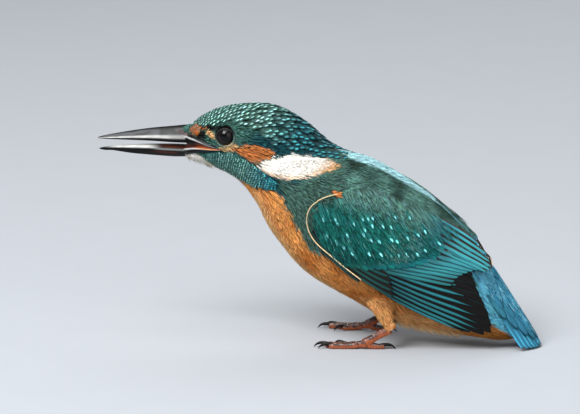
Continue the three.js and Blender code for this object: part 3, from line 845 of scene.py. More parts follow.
def make_skin():
    """One skin for the head, body, thighs and arms, inside the plumage, with the lids."""
    points, faces, normals = wrapped(FLESH, SKIN_VOXEL, SKIN_SMOOTHING)
    hull = Hull(points, faces)
    eye = np.minimum(*[
        np.linalg.norm(points - (EYE["x"], s * EYE["y"], EYE["z"]), axis=1) for s in SIDES.values()
    ])
    behind_bill = smoothstep(-46, -36, points[:, 0])
    depth = COAT_DEPTH * (0.25 + 0.75 * smoothstep(3.4, 7, eye)) * (0.35 + 0.65 * behind_bill)
    inside = points - normals * depth[:, None]
    parts = [(inside, faces, plumage(points) * SKIN_SHADE)] + [lid_ring(s) for s in SIDES.values()]
    painted_piece("skin", *together(parts), SKIN, "mantle_plumage", FLESH)
    return hull, normals


HULL, HULL_NORMALS = make_skin()

# ---------------------------------------------------------------- bill

BILL_SLATE = srgb(60, 62, 65)
# BILL_HIGHLIGHT is a painted highlight on the horn, used on both mandibles and the folds of the mouth.
BILL_HIGHLIGHT = srgb(232, 232, 228)
BILL_BLACK = srgb(10, 9, 9)
GAPE_ORANGE = srgb(214, 112, 58)
GAPE_PALE = srgb(240, 176, 120)
# Sections of the mandibles from tip to root: x, their top and bottom, and half their width.
UPPER_BILL = [
    (-77.6, 68.1, 67.75, 0.15), (-75.8, 68.7, 67.68, 0.55), (-72.8, 69.4, 67.7, 1.0), (-67, 70.6, 67.8, 1.75),
    (-59, 72, 67.9, 2.6), (-51, 73, 67.8, 3.5), (-45.5, 73.6, 67.8, 4.1), (-40, 73.2, 67.2, 4.3),
    (-35, 72, 66.6, 4.2),
]
LOWER_BILL = [
    (-77.0, 64.3, 63.95, 0.15), (-75, 64.7, 63.62, 0.5), (-72, 65.1, 63.6, 0.95), (-66, 65.6, 62.9, 1.65),
    (-59, 66, 62.5, 2.4), (-51, 66.2, 62.2, 3.2), (-46, 66.1, 62.4, 3.6), (-40, 65.6, 62.9, 3.9),
    (-35, 65.4, 63, 4.0),
]
NOSTRIL = {"x": -47.0, "z": 71.3, "long": 1.8, "high": 0.42}


def grid_faces(rows, columns, closed):
    """Triangles over a grid of points; closed joins the last column to the first."""
    i, j = np.meshgrid(np.arange(rows - 1), np.arange(columns if closed else columns - 1), indexing="ij")
    a, b = i * columns + j, i * columns + (j + 1) % columns
    c, d = a + columns, b + columns
    return np.concatenate([np.stack([a, b, d], 2).reshape(-1, 3), np.stack([a, d, c], 2).reshape(-1, 3)])


def mandible(outline, ridge_up):
    """One mandible: a wedge with a rounded ridge, flat sides and sharp cutting edges. It also gives
    each point's share of the height from the cutting edge to the ridge."""
    steps, sides = 72, 48
    place = np.linspace(0, 1, steps) ** 1.15 * (len(outline) - 1)
    section = curve(outline, place)
    turn = np.linspace(-math.pi, math.pi, sides, endpoint=False)
    x, top, bottom, half = (section[:, i][:, None] for i in range(4))
    ridge, edge = (top, bottom) if ridge_up else (bottom, top)
    up = np.cos(turn)[None]
    rise = np.where(up > 0, 0.14 + 0.86 * np.maximum(up, 0) ** 1.25, 0.14 * (1 + 1.6 * up))
    z = edge + (ridge - edge) * rise
    flare = 1 - 0.42 * np.maximum(up, 0) ** 1.2
    y = half * np.sin(turn)[None] * flare
    points = np.stack([np.broadcast_to(x, z.shape), y, z], axis=2).reshape(-1, 3)
    last = (steps - 1) * sides
    caps = [(0, k + 1, k) for k in range(1, sides - 1)]
    caps += [(last, last + k, last + k + 1) for k in range(1, sides - 1)]
    faces = np.concatenate([grid_faces(steps, sides, True), np.array(caps)])
    return points, faces[:, ::-1] if ridge_up else faces, np.tile(rise, (steps, 1)).reshape(-1)


def band(values, low, high, soft):
    """1 where values lie from low to high, with soft edges."""
    return smoothstep(low - soft, low + soft, values) * (1 - smoothstep(high - soft, high + soft, values))


def upper_bill():
    """Slate above, with a painted highlight low on its side, a black cutting edge and the slit of the
    nostril, painted black as the shade inside it.
    """
    points, faces, rise = mandible(UPPER_BILL, True)
    x, z = points[:, 0], points[:, 2]
    off = ((x - NOSTRIL["x"]) / NOSTRIL["long"]) ** 2
    off += ((z - NOSTRIL["z"] + 0.25 * (x - NOSTRIL["x"])) / NOSTRIL["high"]) ** 2
    slit = 1 - smoothstep(0.3, 1.2, off)
    points[:, 1] -= np.sign(points[:, 1]) * 0.4 * slit
    colour = mix(tiled(BILL_SLATE, points), BILL_BLACK, smoothstep(0.84, 0.97, rise))
    mottle = smoothstep(-0.15, 0.25, noise(points * (0.4, 1, 1), 1.1, 40))
    colour = mix(colour, BILL_BLACK, 0.8 * mottle)
    # Painted highlight: a bright band low on the side of the upper mandible, where the light catches it.
    highlight_strength = (0.45 + 0.55 * smoothstep(-46, -54, x)) * (0.75 + 0.25 * noise(points, 2.0, 41))
    colour = mix(colour, BILL_HIGHLIGHT, band(rise, 0.29, 0.4, 0.05) * highlight_strength)
    colour = mix(colour, BILL_BLACK, 1 - smoothstep(0.19, 0.28, rise))
    warm = np.exp(-off / 1.2)
    # The slit of the nostril is painted black: painted shade inside the opening, over its own reddish brown.
    return points, faces, mix(mix(colour, GAPE_BROWN * 0.6, 0.8 * warm), BILL_BLACK, 0.6 * slit)


def lower_bill():
    """Black, with a painted highlight along its upper edge in front and in its upper third near the head, and
    a reddish brown streak near the head.
    """
    points, faces, rise = mandible(LOWER_BILL, False)
    x = points[:, 0]
    colour = tiled(BILL_BLACK, points)
    # Painted highlights: a pale line along the upper edge in front, and a band in the upper third near the
    # head.
    edge = smoothstep(-76, -70, x) * (1 - smoothstep(-60, -54, x))
    colour = mix(colour, BILL_HIGHLIGHT, 0.6 * edge * (1 - smoothstep(0.15, 0.26, rise)))
    colour = mix(colour, BILL_HIGHLIGHT, 0.7 * band(rise, 0.2, 0.3, 0.05) * smoothstep(-59, -54, x))
    streak = smoothstep(-60, -55, x) * (1 - smoothstep(-51, -48, x)) * band(rise, 0.5, 0.62, 0.08)
    colour = mix(colour, GAPE_BROWN, 0.6 * streak)
    inner = smoothstep(-58, -52, x) * (1 - smoothstep(0.04, 0.1, rise))
    return points, faces, mix(colour, GAPE_BROWN * 0.4, 0.8 * inner)


# The sides of the mouth, from the bill back to its corner. Each fold is a set of lines, one below
# the other, with their heights at these x, how far they stand out, and their colours in front and
# behind.
MOUTH_X = [-49, -47, -45, -42.5, -39.8, -37, -34.5, -32.0]
# The third line of each fold is a painted highlight in front; on the upper fold it stays a paler grey behind.
UPPER_FOLD = [
    ([70.5, 70.5, 70.7, 70.5, 69.8, 68.8, 68.0, 67.2], -0.3, BILL_SLATE, BILL_BLACK),
    ([70.15, 70.15, 70.25, 70.0, 69.25, 68.35, 67.78, 67.16], 0.0, BILL_SLATE, BILL_BLACK),
    ([69.9, 69.9, 69.95, 69.65, 68.9, 68.05, 67.6, 67.12], 0.3, BILL_HIGHLIGHT * 0.6, BILL_SLATE * 3),
    ([69.4, 69.4, 69.4, 69.2, 68.55, 67.8, 67.45, 67.1], 0.1, BILL_BLACK, BILL_BLACK),
    ([68.6, 68.6, 68.7, 68.6, 68.2, 67.6, 67.35, 67.09], 0.2, BILL_BLACK, GAPE_BROWN),
    ([67.9, 67.9, 68.0, 68.0, 67.8, 67.45, 67.25, 67.08], -0.1, BILL_BLACK, GAPE_ORANGE * 0.6),
]
LOWER_FOLD = [
    ([65.8, 66.0, 66.7, 67.3, 67.4, 67.25, 67.15, 67.06], -0.1, GAPE_BROWN * 0.4, GAPE_ORANGE),
    ([65.5, 65.7, 66.4, 66.95, 67.1, 67.0, 67.0, 67.03], 0.1, GAPE_BROWN * 0.4, GAPE_BROWN),
    ([65.2, 65.4, 66.0, 66.5, 66.7, 66.75, 66.85, 67.0], 0.3, BILL_HIGHLIGHT * 0.6, GAPE_PALE),
    ([64.7, 64.9, 65.4, 66.05, 66.4, 66.55, 66.75, 66.98], 0.15, BILL_BLACK, BILL_SLATE * 2),
    ([64.0, 64.2, 64.8, 65.45, 65.9, 66.2, 66.55, 66.95], 0.2, BILL_BLACK, BILL_BLACK),
    ([62.7, 62.9, 63.8, 64.6, 65.2, 65.7, 66.2, 66.9], -0.3, BILL_BLACK, BILL_BLACK),
]


def smoothed(grid):
    """Values of a grid averaged with their neighbours along each row."""
    padded = np.pad(grid, ((0, 0), (1, 1)), mode="edge")
    return (padded[:, :-2] + 2 * padded[:, 1:-1] + padded[:, 2:]) / 4


FOLD_STEPS, FOLD_ROWS, FOLD_THICKNESS = 56, 25, 1.2
FOLD_SUNK = 0.6  # how deep the front of a fold lies in the bill


def slab_faces(steps, rows):
    """Triangles of a closed slab: a grid of rows, then the same rows back again behind it."""
    faces = [grid_faces(2 * rows, steps, False)]
    first, last = np.arange(steps - 1), (2 * rows - 1) * steps + np.arange(steps - 1)
    faces += [np.stack([last, last + 1, first + 1], 1), np.stack([last, first + 1, first], 1)]
    row = np.arange(rows - 1)
    for column, turn in ((0, 1), (steps - 1, -1)):
        a, b = row * steps + column, (row + 1) * steps + column
        c, d = (2 * rows - 2 - row) * steps + column, (2 * rows - 1 - row) * steps + column
        faces += [np.stack([a, c, b], 1)[:, ::turn], np.stack([a, d, c], 1)[:, ::turn]]
    return np.concatenate(faces)


def mouth_fold(lines, face, side):
    """One fold of the mouth: a closed slab that lies on the bill in front and on the face behind."""
    place = np.linspace(0, len(MOUTH_X) - 1, FOLD_STEPS)
    down = np.linspace(0, len(lines) - 1, FOLD_ROWS)
    heights, outs, fronts, rears = (np.array(part) for part in zip(*lines))
    x = np.repeat(curve(MOUTH_X, place)[None], FOLD_ROWS, axis=0)
    z = curve(curve(heights.T, place).T, down)
    out = (curve(outs, down)[:, None] + FOLD_SUNK) * smoothstep(-49, -45, x) - FOLD_SUNK
    out = np.where(out > 0, out * (1 - 0.5 * smoothstep(-36, -32, x)), out)
    front, behind = curve(fronts, down)[:, None], curve(rears, down)[:, None]
    colour = front + (behind - front) * smoothstep(-43, -38, x)[..., None]
    found = face.beside(x.ravel(), z.ravel(), side)
    y = np.maximum(np.abs(found[:, 1]).reshape(x.shape), np.interp(x, [-49, -47, -44], [0.8, 2.0, 3.1]))
    for _ in range(6):
        y = smoothed(smoothed(y).T).T
    outer, inner = (np.stack([x, side * level, z], axis=2) for level in (y + out, y - FOLD_THICKNESS))
    points = np.concatenate([outer, inner[::-1]]).reshape(-1, 3)
    colours = np.concatenate([colour, colour[::-1] * 0.5]).reshape(-1, 3)
    return points, slab_faces(FOLD_STEPS, FOLD_ROWS)[:, ::side], colours


def make_bill():
    """Both mandibles and the folds at the sides of the mouth."""
    upper, lower = upper_bill(), lower_bill()
    points, faces, _ = together([(HULL.points, HULL.faces, HULL.points), upper, lower])
    face = Hull(points, faces)
    folds = [mouth_fold(lines, face, side) for lines in (UPPER_FOLD, LOWER_FOLD) for side in SIDES.values()]
    painted_piece("bill_upper_horn", *upper, HORN, "horn", ["bill_upper"])
    painted_piece("bill_lower_horn", *lower, HORN, "horn", ["bill_lower"])
    painted_piece("mouth_folds", *together(folds), HORN, "foot_skin")
    return face


FACE = make_bill()

# ---------------------------------------------------------------- eyes

IRIS_BROWN = srgb(16, 11, 9)
PUPIL = srgb(3, 3, 4)


def eyeball(name, side):
    """A dark, glossy eye with its pupil."""
    ball = bmesh.new()
    bmesh.ops.create_uvsphere(ball, u_segments=48, v_segments=32, radius=EYE["radius"])
    points = np.array([v.co for v in ball.verts])
    bmesh.ops.triangulate(ball, faces=ball.faces[:])
    faces = np.array([[v.index for v in f.verts] for f in ball.faces])
    ball.free()
    points = points[:, [0, 2, 1]] * (1, side, 1)
    if side > 0:
        faces = faces[:, ::-1]
    off = np.hypot(points[:, 0], points[:, 2])
    colours = mix(tiled(IRIS_BROWN, points), PUPIL, 1 - smoothstep(1.4, 1.8, off))
    points = points + (EYE["x"], side * EYE["y"], EYE["z"])
    painted_piece(f"eyeball_{name}", points, faces, colours, EYE_GLOSS, "eye", [f"eye_{name}"])


for side_name, side_sign in SIDES.items():
    eyeball(side_name, side_sign)

# ---------------------------------------------------------------- floor, light and camera


FLOOR_REACH = 40
FLOOR_GREYS = srgb(157, 161, 166), srgb(160, 164, 169)
WORLD_LIGHT, WORLD_STRENGTH = (0.92, 0.96, 1.0, 1), 0.3
LIT_PLACE = (-0.01, 0, 0.04)
LIGHTS = {  # place and size in metres, and power
    "key": ((-0.45, -0.8, 1.1), 0.75, 30.0),
    "top": ((-0.1, -0.3, 1.3), 1.0, 8.0),
    "fill": ((0.7, -0.9, 0.5), 1.0, 5.0),
    "back": ((0.2, 0.9, 0.9), 0.8, 5.0),
}


def make_floor():
    """A plain pale floor."""
    r = FLOOR_REACH
    mesh = bpy.data.meshes.new("floor")
    mesh.from_pydata([(-r, -r, 0), (r, -r, 0), (r, r, 0), (-r, r, 0)], [], [(0, 1, 2, 3)])
    floor = bpy.data.objects.new("floor", mesh)
    bpy.context.scene.collection.objects.link(floor)
    material, tree, shader = nodes_of("pale floor", 0.9)
    place = node(tree, "ShaderNodeTexCoord").outputs["Object"]
    grain = node(tree, "ShaderNodeTexNoise", {"Vector": place, "Scale": 60.0, "Detail": 4.0}).outputs["Fac"]
    pale, paler = ((*grey, 1) for grey in FLOOR_GREYS)
    tree.links.new(tinted(tree, grain, pale, paler), shader.inputs["Base Color"])
    mesh.materials.append(material)


def aimed(name, data, place, back):
    """An object at a place, turned so that it looks against the way back."""
    made = bpy.data.objects.new(name, data)
    bpy.context.scene.collection.objects.link(made)
    made.location = place
    made.rotation_mode = "QUATERNION"
    made.rotation_quaternion = (-back).to_track_quat("-Z", "Y")
    return made


def make_light():
    """Soft studio light from four sides and from all round."""
    world = bpy.data.worlds.new("studio")
    bpy.context.scene.world = world
    world.use_nodes = True
    world.node_tree.nodes["Background"].inputs[0].default_value = WORLD_LIGHT
    world.node_tree.nodes["Background"].inputs[1].default_value = WORLD_STRENGTH
    for name, (place, size, power) in LIGHTS.items():
        light = bpy.data.lights.new(name, "AREA")
        light.size, light.energy = size, power
        aimed(name, light, place, Vector(place) - Vector(LIT_PLACE))


def make_camera():
    """The camera, a little above the bird's middle and a little behind its side."""
    camera = bpy.data.cameras.new("camera")
    camera.lens, camera.sensor_width = CAMERA["lens"], 36
    camera.clip_start, camera.clip_end = 0.01, 100
    azimuth, elevation = math.radians(CAMERA["azimuth"]), math.radians(CAMERA["elevation"])
    away = Vector((
        math.sin(azimuth) * math.cos(elevation),
        -math.cos(azimuth) * math.cos(elevation),
        math.sin(elevation),
    ))
    distance = CAMERA["view_width"] * MM * camera.lens / camera.sensor_width
    place = Vector(CAMERA["aim"]) * MM + away * distance
    bpy.context.scene.camera = aimed("camera", camera, place, away)


bpy.context.scene.view_settings.view_transform = "Standard"
make_floor()
make_light()
make_camera()

# ---------------------------------------------------------------- body feathers


def bare(points):
    """Where no body feather grows: on the eyes, round the mouth, and under the flight feathers."""
    x, y, z = points[:, 0], np.abs(points[:, 1]), points[:, 2]
    eye = (np.hypot(x - EYE["x"], z - EYE["z"]) < EYE["seen"] + 0.35) & (y > 6)
    mouth = signed_distance(MOUTH, x, z) < 0
    along, across = on_wing_plane(points)
    hidden = (signed_distance(FLIGHT_AREA, along, across) < -2.5) & (x > 22)
    hidden &= y < wing_out(along, across) - 0.5
    heel = np.zeros(len(points), bool)
    for name, side in SIDES.items():
        heel |= np.linalg.norm(points - heel_of(name, side), axis=1) < HEEL_BARE
    return eye | mouth | hidden | heel


# Kinds of body feather: length, width, share of roots, height of the tip, how much their colours
# change, the share of dark ones (painted shade), and how much they stray from the lie of the coat.
TRACTS = {
    "face": (1.7, 0.4, 1.7, 0.12, 0.24, 0.15, 0.1),
    "crown": (2.4, 0.45, 0.9, 0.15, 0.25, 0.25, 0.1),
    "cheek": (2.8, 0.42, 1.8, 0.15, 0.26, 0.2, 0.08),
    "malar": (2.6, 0.4, 0.5, 0.15, 0.2, 0.1, 0.08),
    "ear": (2.8, 0.42, 1.9, 0.18, 0.18, 0.06, 0.08),
    "patch": (6.0, 0.8, 3.0, 0.1, 0.03, 0.0, 0.03),
    "throat": (3.2, 0.42, 1.8, 0.12, 0.14, 0.06, 0.12),
    "side": (4.0, 0.45, 1.9, 0.16, 0.26, 0.2, 0.08),
    "breast": (4.4, 0.5, 1.6, 0.2, 0.24, 0.12, 0.09),
    "belly": (5.4, 0.42, 1.7, 0.25, 0.22, 0.06, 0.07),
    "mantle": (5.2, 0.42, 1.9, 0.1, 0.26, 0.15, 0.05),
    "stripe": (6.5, 0.5, 1.8, 0.25, 0.24, 0.15, 0.04),
    "covert": (3.4, 0.45, 1.5, 0.15, 0.25, 0.2, 0.08),
}
# The dark tufts are painted shade, standing for the shaded gaps between feathers.
DARK_TUFT = 0.55  # how dark the dark tufts are


def tract_of(points):
    """The name of the tract that each root belongs to."""
    x, y, z = points[:, 0], np.abs(points[:, 1]), points[:, 2]
    along, across = on_wing_plane(points)
    tract = np.full(len(points), "mantle", object)
    front_of_nape = x + 0.4 * (70 - z) < 5
    tract[front_of_nape] = "cheek"
    tract[crown_outline(points) & (x < 4)] = "crown"
    tract[signed_distance(NECK_SIDE, x, z) < 0] = "side"
    under = signed_distance(UNDERPARTS, x, z) < 0
    tract[under] = "breast"
    tract[under & (x > 2)] = "belly"
    tract[signed_distance(THROAT, x, z) < 0.3] = "throat"
    tract[signed_distance(MALAR, x, z) < 0] = "malar"
    tract[signed_distance(EAR_PATCH, x, z) < 0.3] = "ear"
    tract[signed_distance(NECK_PATCH, x, z) < 0.2] = "patch"
    tract[signed_distance(EAR_CREAM, x, z) < 0.3] = "face"
    tract[((x < -35) & (z > 66)) | (np.hypot(x - EYE["x"], z - EYE["z"]) < 4.6)] = "face"
    wing = (across < 12) & (across > -9) & (along > 0) & (y > wing_out(along, across) - 3) & (x > -2)
    tract[wing & (z > 25)] = "covert"
    tract[on_back_stripe(x, y, z) > 0.5] = "stripe"
    return tract


def jittered(colours, amount, seed, dark=0.0):
    """Each feather's colour a little lighter or darker, and a little warmer or cooler. dark is the
    share that is much darker: painted shade that stands for the gaps between feathers."""
    rng = np.random.default_rng(seed)
    light = 1 + amount * rng.normal(0, 1, (len(colours), 1)).clip(-2, 2)
    light = np.where(rng.random((len(colours), 1)) < dark, DARK_TUFT, light)
    hue = 1 + 0.25 * amount * rng.normal(0, 1, (len(colours), 3)).clip(-2, 2)
    return colours * light * hue


def gather(coat, line, width, shape, rise, colours, marks, material, size=TUFT_PATCH, **more):
    """Turns centre lines into feathers of a coat. root is how strong the painted shade at their roots
    is, and wander how far each one's pattern is moved from its place."""
    root, wander = more.pop("root", 1.0), more.pop("wander", 0.0)
    points, faces, vane = blades(line, width, shape, rise, **more)
    bake = bake_patches(line[0][0], vane, size)
    moved = vane + RNG.normal(0, 1, (len(points), 1, 2)) * wander
    coat.add(points, faces, with_alpha(colours, root), marks, moved, bake, material)


def tufts(coat, line, width, rise, base, bright=1.0, strength=0.0, **more):
    """Soft hair-like feathers, whose marks are a brighter shade of their own colour."""
    gather(coat, line, width, HAIR, rise, base, with_alpha(base * bright, strength), SOFT, **more)


def body_feathers():
    """Soft feathers over the whole hull, as tufts that follow the lie of the coat."""
    tract = tract_of(HULL.points)
    groups = {}
    for name, (length, width, share, rise, change, dark, stray) in TRACTS.items():
        place = np.flatnonzero(tract == name)
        copies = np.concatenate([place] * math.ceil(share))
        copies = copies[RNG.random(len(copies)) < share / math.ceil(share)]
        normal = HULL_NORMALS[copies]
        off = RNG.normal(0, 0.33, (len(copies), 3))
        roots = HULL.points[copies] + off - (off * normal).sum(1, keepdims=True) * normal
        roots = roots[~bare(roots)]
        ways = lie_of_coat(roots)
        ways = ways + RNG.normal(0, stray, ways.shape)
        size = 1 + 0.16 * RNG.normal(0, 1, len(roots)).clip(-2, 2)
        if name == "face":
            size = size * (0.7 + 0.5 * smoothstep(-46, -34, roots[:, 0]))
        seen = roots + ways * length * 0.6
        colours = jittered(plumage(seen), change, 10 + len(groups), dark)
        groups[name] = {
            "roots": roots, "ways": ways, "lengths": length * size,
            "colours": colours, "width": width, "rise": rise,
        }
    return groups


def crown_outline(points):
    """Where the barred feathers of the crown and nape grow."""
    x = [-45, -38, -31, -24, -14, -4, 6]
    low = np.interp(points[:, 0], x, [72.8, 74.9, 77.2, 75.4, 70.8, 67.8, 66.2])
    return points[:, 2] > low


MOST_TUFTS = 8600  # in one piece


def tract_pieces(name, group):
    """The feathers of a tract, in pieces from front to rear."""
    order = np.argsort(group["roots"][:, 0], kind="stable")
    pieces = math.ceil(len(order) / MOST_TUFTS)
    low = -0.3 if name == "patch" else -COAT_DEPTH + 0.05
    root = {"patch": 0.0, "throat": 0.5}.get(name, 1.0)
    camber = 0.03 if name == "patch" else 0.16
    for part in range(pieces):
        chosen = order[part * len(order) // pieces:(part + 1) * len(order) // pieces]
        coat = Coat()
        line = march(HULL, *(group[key][chosen] for key in ("roots", "ways", "lengths")), HAIR)
        colours = group["colours"][chosen]
        tufts(coat, line, group["width"], (low, group["rise"]), colours, 1.3, 0.5, root=root, camber=camber)
        suffix = f"_{part + 1}" if pieces > 1 else ""
        coat_piece(f"plumage_{name}{suffix}", coat)


groups = body_feathers()
for tract_name, tract_group in groups.items():
    tract_pieces(tract_name, tract_group)

# ---------------------------------------------------------------- barred feathers of the head

CROWN_TOP = [
    (-45.6, 73.2), (-41.9, 76.2), (-36.6, 79.2), (-30.3, 81), (-23.3, 81.8), (-16.3, 81.7),
    (-9.3, 79), (-3, 75), (3.3, 69.5), (9, 66.6),
]
CROWN_MIDDLE = [
    (-43, 69), (-41, 69), (-37, 70), (-31, 70.5), (-24.5, 69.5), (-19, 67.5), (-14.5, 63.5),
    (-10, 60), (-6, 55), (-1, 51),
]


def crown_roots():
    """Staggered rows over the crown and nape, finest at the forehead, and the gaps between them."""
    top, middle = np.asarray(CROWN_TOP, float), np.asarray(CROWN_MIDDLE, float)
    steps = np.r_[0, np.cumsum(np.linalg.norm(np.diff(top, axis=0), axis=1))]
    roots, gaps = [], []
    reach, row = 0.3, 0
    while reach < steps[-1]:
        gap = 0.85 + 0.95 * min(1, reach / 26)
        place = np.interp(reach, steps, np.arange(len(top)))
        up, axis = curve(top, place), curve(middle, place)
        radius = np.linalg.norm(up - axis)
        arm = (up - axis) / radius
        for j in range(-16, 17):
            turn = (j + 0.5 * (row % 2)) * gap * 0.98 / min(radius, 10.5)
            if abs(turn) > 1.7:
                continue
            ray = Vector((arm[0] * math.cos(turn), math.sin(turn), arm[1] * math.cos(turn)))
            hit, *_ = HULL.tree.ray_cast(Vector((axis[0], 0, axis[1])) + 25 * ray, -ray)
            if hit:
                roots.append(hit)
                gaps.append(gap)
        reach += gap
        row += 1
    return np.array(roots), np.array(gaps)


def barred_head():
    """The crown and nape: dark feathers, each with a short pale dash before its tip."""
    roots, gaps = crown_roots()
    keep = crown_outline(roots) & ~bare(roots)
    roots, gaps = roots[keep], gaps[keep]
    stray = 0.12 + 0.14 * smoothstep(-34, -10, roots[:, :1])
    roots = roots + RNG.normal(0, 1, roots.shape) * gaps[:, None] * stray
    back = smoothstep(-24, -6, roots[:, 0] + 0.6 * (78 - roots[:, 2]))
    base = jittered(mix(CROWN_DARK, NAPE_BLUE, back), 0.18, 21)
    dashes = jittered(mix(CROWN_BAR, NAPE_SPOT, back), 0.2, 22)
    front = smoothstep(-36, -42, roots[:, 0])
    strength = RNG.uniform(0.1, 1.0, len(roots)) ** (0.6 - 0.25 * front) * (1 - 0.25 * back)
    coat = Coat()
    for side in SIDES.values():
        here = roots[:, 1] * side >= 0
        ways = lie_of_coat(roots[here]) + RNG.normal(0, 0.06, (here.sum(), 3))
        line = march(HULL, roots[here], ways, gaps[here] * 2.3, LEAF)
        marks = with_alpha(dashes[here], strength[here])
        gather(
            coat, line, gaps[here] * 1.25, LEAF, (-0.5, 0.24), base[here], marks, DASHED, LEAF_PATCH,
            camber=0.1, hand=-side, wander=(0.06, 0.04),
        )
    coat_piece("plumage_crown_bars", coat)


MALAR_LINE = [
    (-39.5, 64.1), (-34, 63.0), (-29, 61.5), (-24.5, 59.9), (-20, 58.3), (-16.8, 57.3), (-14.4, 56.8),
]
MALAR_HALF = [1.0, 2.9, 4.2, 4.2, 3.5, 2.4, 0.9]


def barred_malar():
    """The moustache stripe: fine bars in front, brighter blue tips behind."""
    line = np.asarray(MALAR_LINE, float)
    whole = np.linalg.norm(np.diff(line, axis=0), axis=1).sum()
    step = 0.82
    places = []
    for row in range(int(whole / step)):
        share = np.clip((row + 0.5) * step / whole, 0, 1)
        centre = along_line(line, share)
        ahead = unit(along_line(line, min(1, share + 0.02)) - along_line(line, max(0, share - 0.02)))
        half = curve(MALAR_HALF, share * (len(MALAR_HALF) - 1))
        for j in range(-6, 7):
            off = (j + 0.5 * (row % 2)) * step
            if abs(off) < half:
                places.append(centre + off * np.array([-ahead[1], ahead[0]]))
    places = np.array(places) + RNG.normal(0, 0.07, (len(places), 2))
    coat = Coat()
    for side in SIDES.values():
        roots = HULL.beside(places[:, 0], places[:, 1], side)
        back = smoothstep(-27, -16, roots[:, 0])
        base = jittered(mix(MALAR_TEAL, MALAR_BLUE, back), 0.16, 23)
        bars = jittered(mix(MALAR_BAR, NAPE_SPOT, back), 0.2, 24)
        marks = with_alpha(bars, RNG.uniform(0.1, 1.0, len(roots)))
        line = march(HULL, roots, lie_of_coat(roots), np.full(len(roots), 2.2) + 1.2 * back, LEAF)
        gather(
            coat, line, 1.15, LEAF, (-0.5, 0.12), base, marks, FRINGED, LEAF_PATCH,
            camber=0.1, wander=(0.02, 0.03),
        )
    coat_piece("plumage_malar_bars", coat)


barred_head()
barred_malar()

# Loose pale tufts along the lower outline: the line of their roots as (x, z), how far they spread
# to each side, how many, their length, how far their tips stand out, and their slope and colour.
FRINGES = [
    ([(-47.2, 62.4), (-43, 61.4), (-39.5, 60.4)], 2.4, 130, 2.8, 1.2, 24, PATCH_WHITE),
    ([(-38, 60.0), (-31, 57.2), (-27, 54.6), (-24.4, 51.4)], 2.6, 46, 2.4, 0.6, 50, PATCH_WHITE),
    ([(25, 8.0), (34, 5.8), (46, 4.6)], 9.0, 420, 4.4, 1.5, 20, ORANGE_PALE),
    ([(4, 18.6), (12, 14.6), (20, 10)], 6.0, 90, 4.6, 0.5, 34, ORANGE_PALE),
]
FOREHEAD_TUFTS, LID_TUFTS = 1500, 44
FOREHEAD = [
    (-47.9, 72.6), (-46.6, 73.5), (-44.4, 74.3), (-41, 73.6), (-41.6, 70.4), (-44.8, 70.6), (-47.2, 71.4),
]


def fringe(coat, line, spread, count, length, rise, slope, colour):
    """Loose tufts along the lower outline of the body."""
    at = along_line(line, RNG.random(count))
    guess = np.stack([at[:, 0], RNG.uniform(-spread, spread, count), at[:, 1] - 1], axis=1)
    roots, _ = HULL.nearest(guess)
    slope = np.radians(slope + RNG.normal(0, 7, count))
    ways = np.stack([np.cos(slope), RNG.normal(0, 0.08, count), -np.sin(slope)], axis=1)
    lengths = length * RNG.uniform(0.7, 1.3, count)
    base = jittered(np.tile(colour, (count, 1)), 0.2, 300 + count, 0.12)
    path = march(HULL, roots, ways, lengths, HAIR)
    tufts(coat, path, 0.4, (-0.5, rise), base, root=0.4, camber=0.2)


def forehead_edge(coat):
    """Small dark feathers that reach forward over the root of the bill."""
    low, high = np.min(FOREHEAD, axis=0), np.max(FOREHEAD, axis=0)
    places = RNG.uniform(low, high, (FOREHEAD_TUFTS, 2))
    places = places[signed_distance(FOREHEAD, places[:, 0], places[:, 1]) < 0]
    for side in SIDES.values():
        roots = FACE.beside(places[:, 0], places[:, 1], side)
        ways = lie_of_coat(roots) + RNG.normal(0, 0.15, roots.shape)
        bright = (RNG.random(len(roots)) < 0.22) * (roots[:, 2] > 72)
        base = jittered(mix(plumage(roots) * 0.9, CROWN_BAR * 0.6, 0.6 * bright), 0.3, 320, 0.25)
        path = march(FACE, roots, ways, RNG.uniform(1.0, 1.7, len(roots)), HAIR)
        tufts(coat, path, 0.3, (-0.1, 0.25), base, 1.6, 0.6, camber=0.2)


def eyelids(coat):
    """A ring of tiny feathers round each eye, pale below it."""
    turn = np.linspace(0, 2 * math.pi, LID_TUFTS, endpoint=False)
    reach = EYE["seen"] + 0.62
    for side in SIDES.values():
        roots = HULL.beside(EYE["x"] + reach * np.cos(turn), EYE["z"] + reach * np.sin(turn), side)
        ways = np.stack([-np.sin(turn), np.zeros(len(turn)), np.cos(turn)], axis=1)
        pale = smoothstep(0.3, -0.5, np.sin(turn))
        base = jittered(mix(LORE_DARK, LID_GREY, pale), 0.2, 330)
        path = march(HULL, roots, ways, np.full(len(turn), 0.7), LEAF)
        gather(coat, path, 0.34, LEAF, (0.0, 0.12), base, with_alpha(base, 0.0), SOFT, root=0.5, camber=0.3)


def edge_feathers():
    """The loose feathers along the edges of the coat."""
    coat = Coat()
    for tufted in FRINGES:
        fringe(coat, *tufted)
    forehead_edge(coat)
    eyelids(coat)
    coat_piece("plumage_edges", coat)


edge_feathers()

# ---------------------------------------------------------------- wings

COVERT_SLOPE = ((0, 10, 25, 45, 60), (-26, -22, -18, -8, 4))  # degrees over the wing's plane, along it
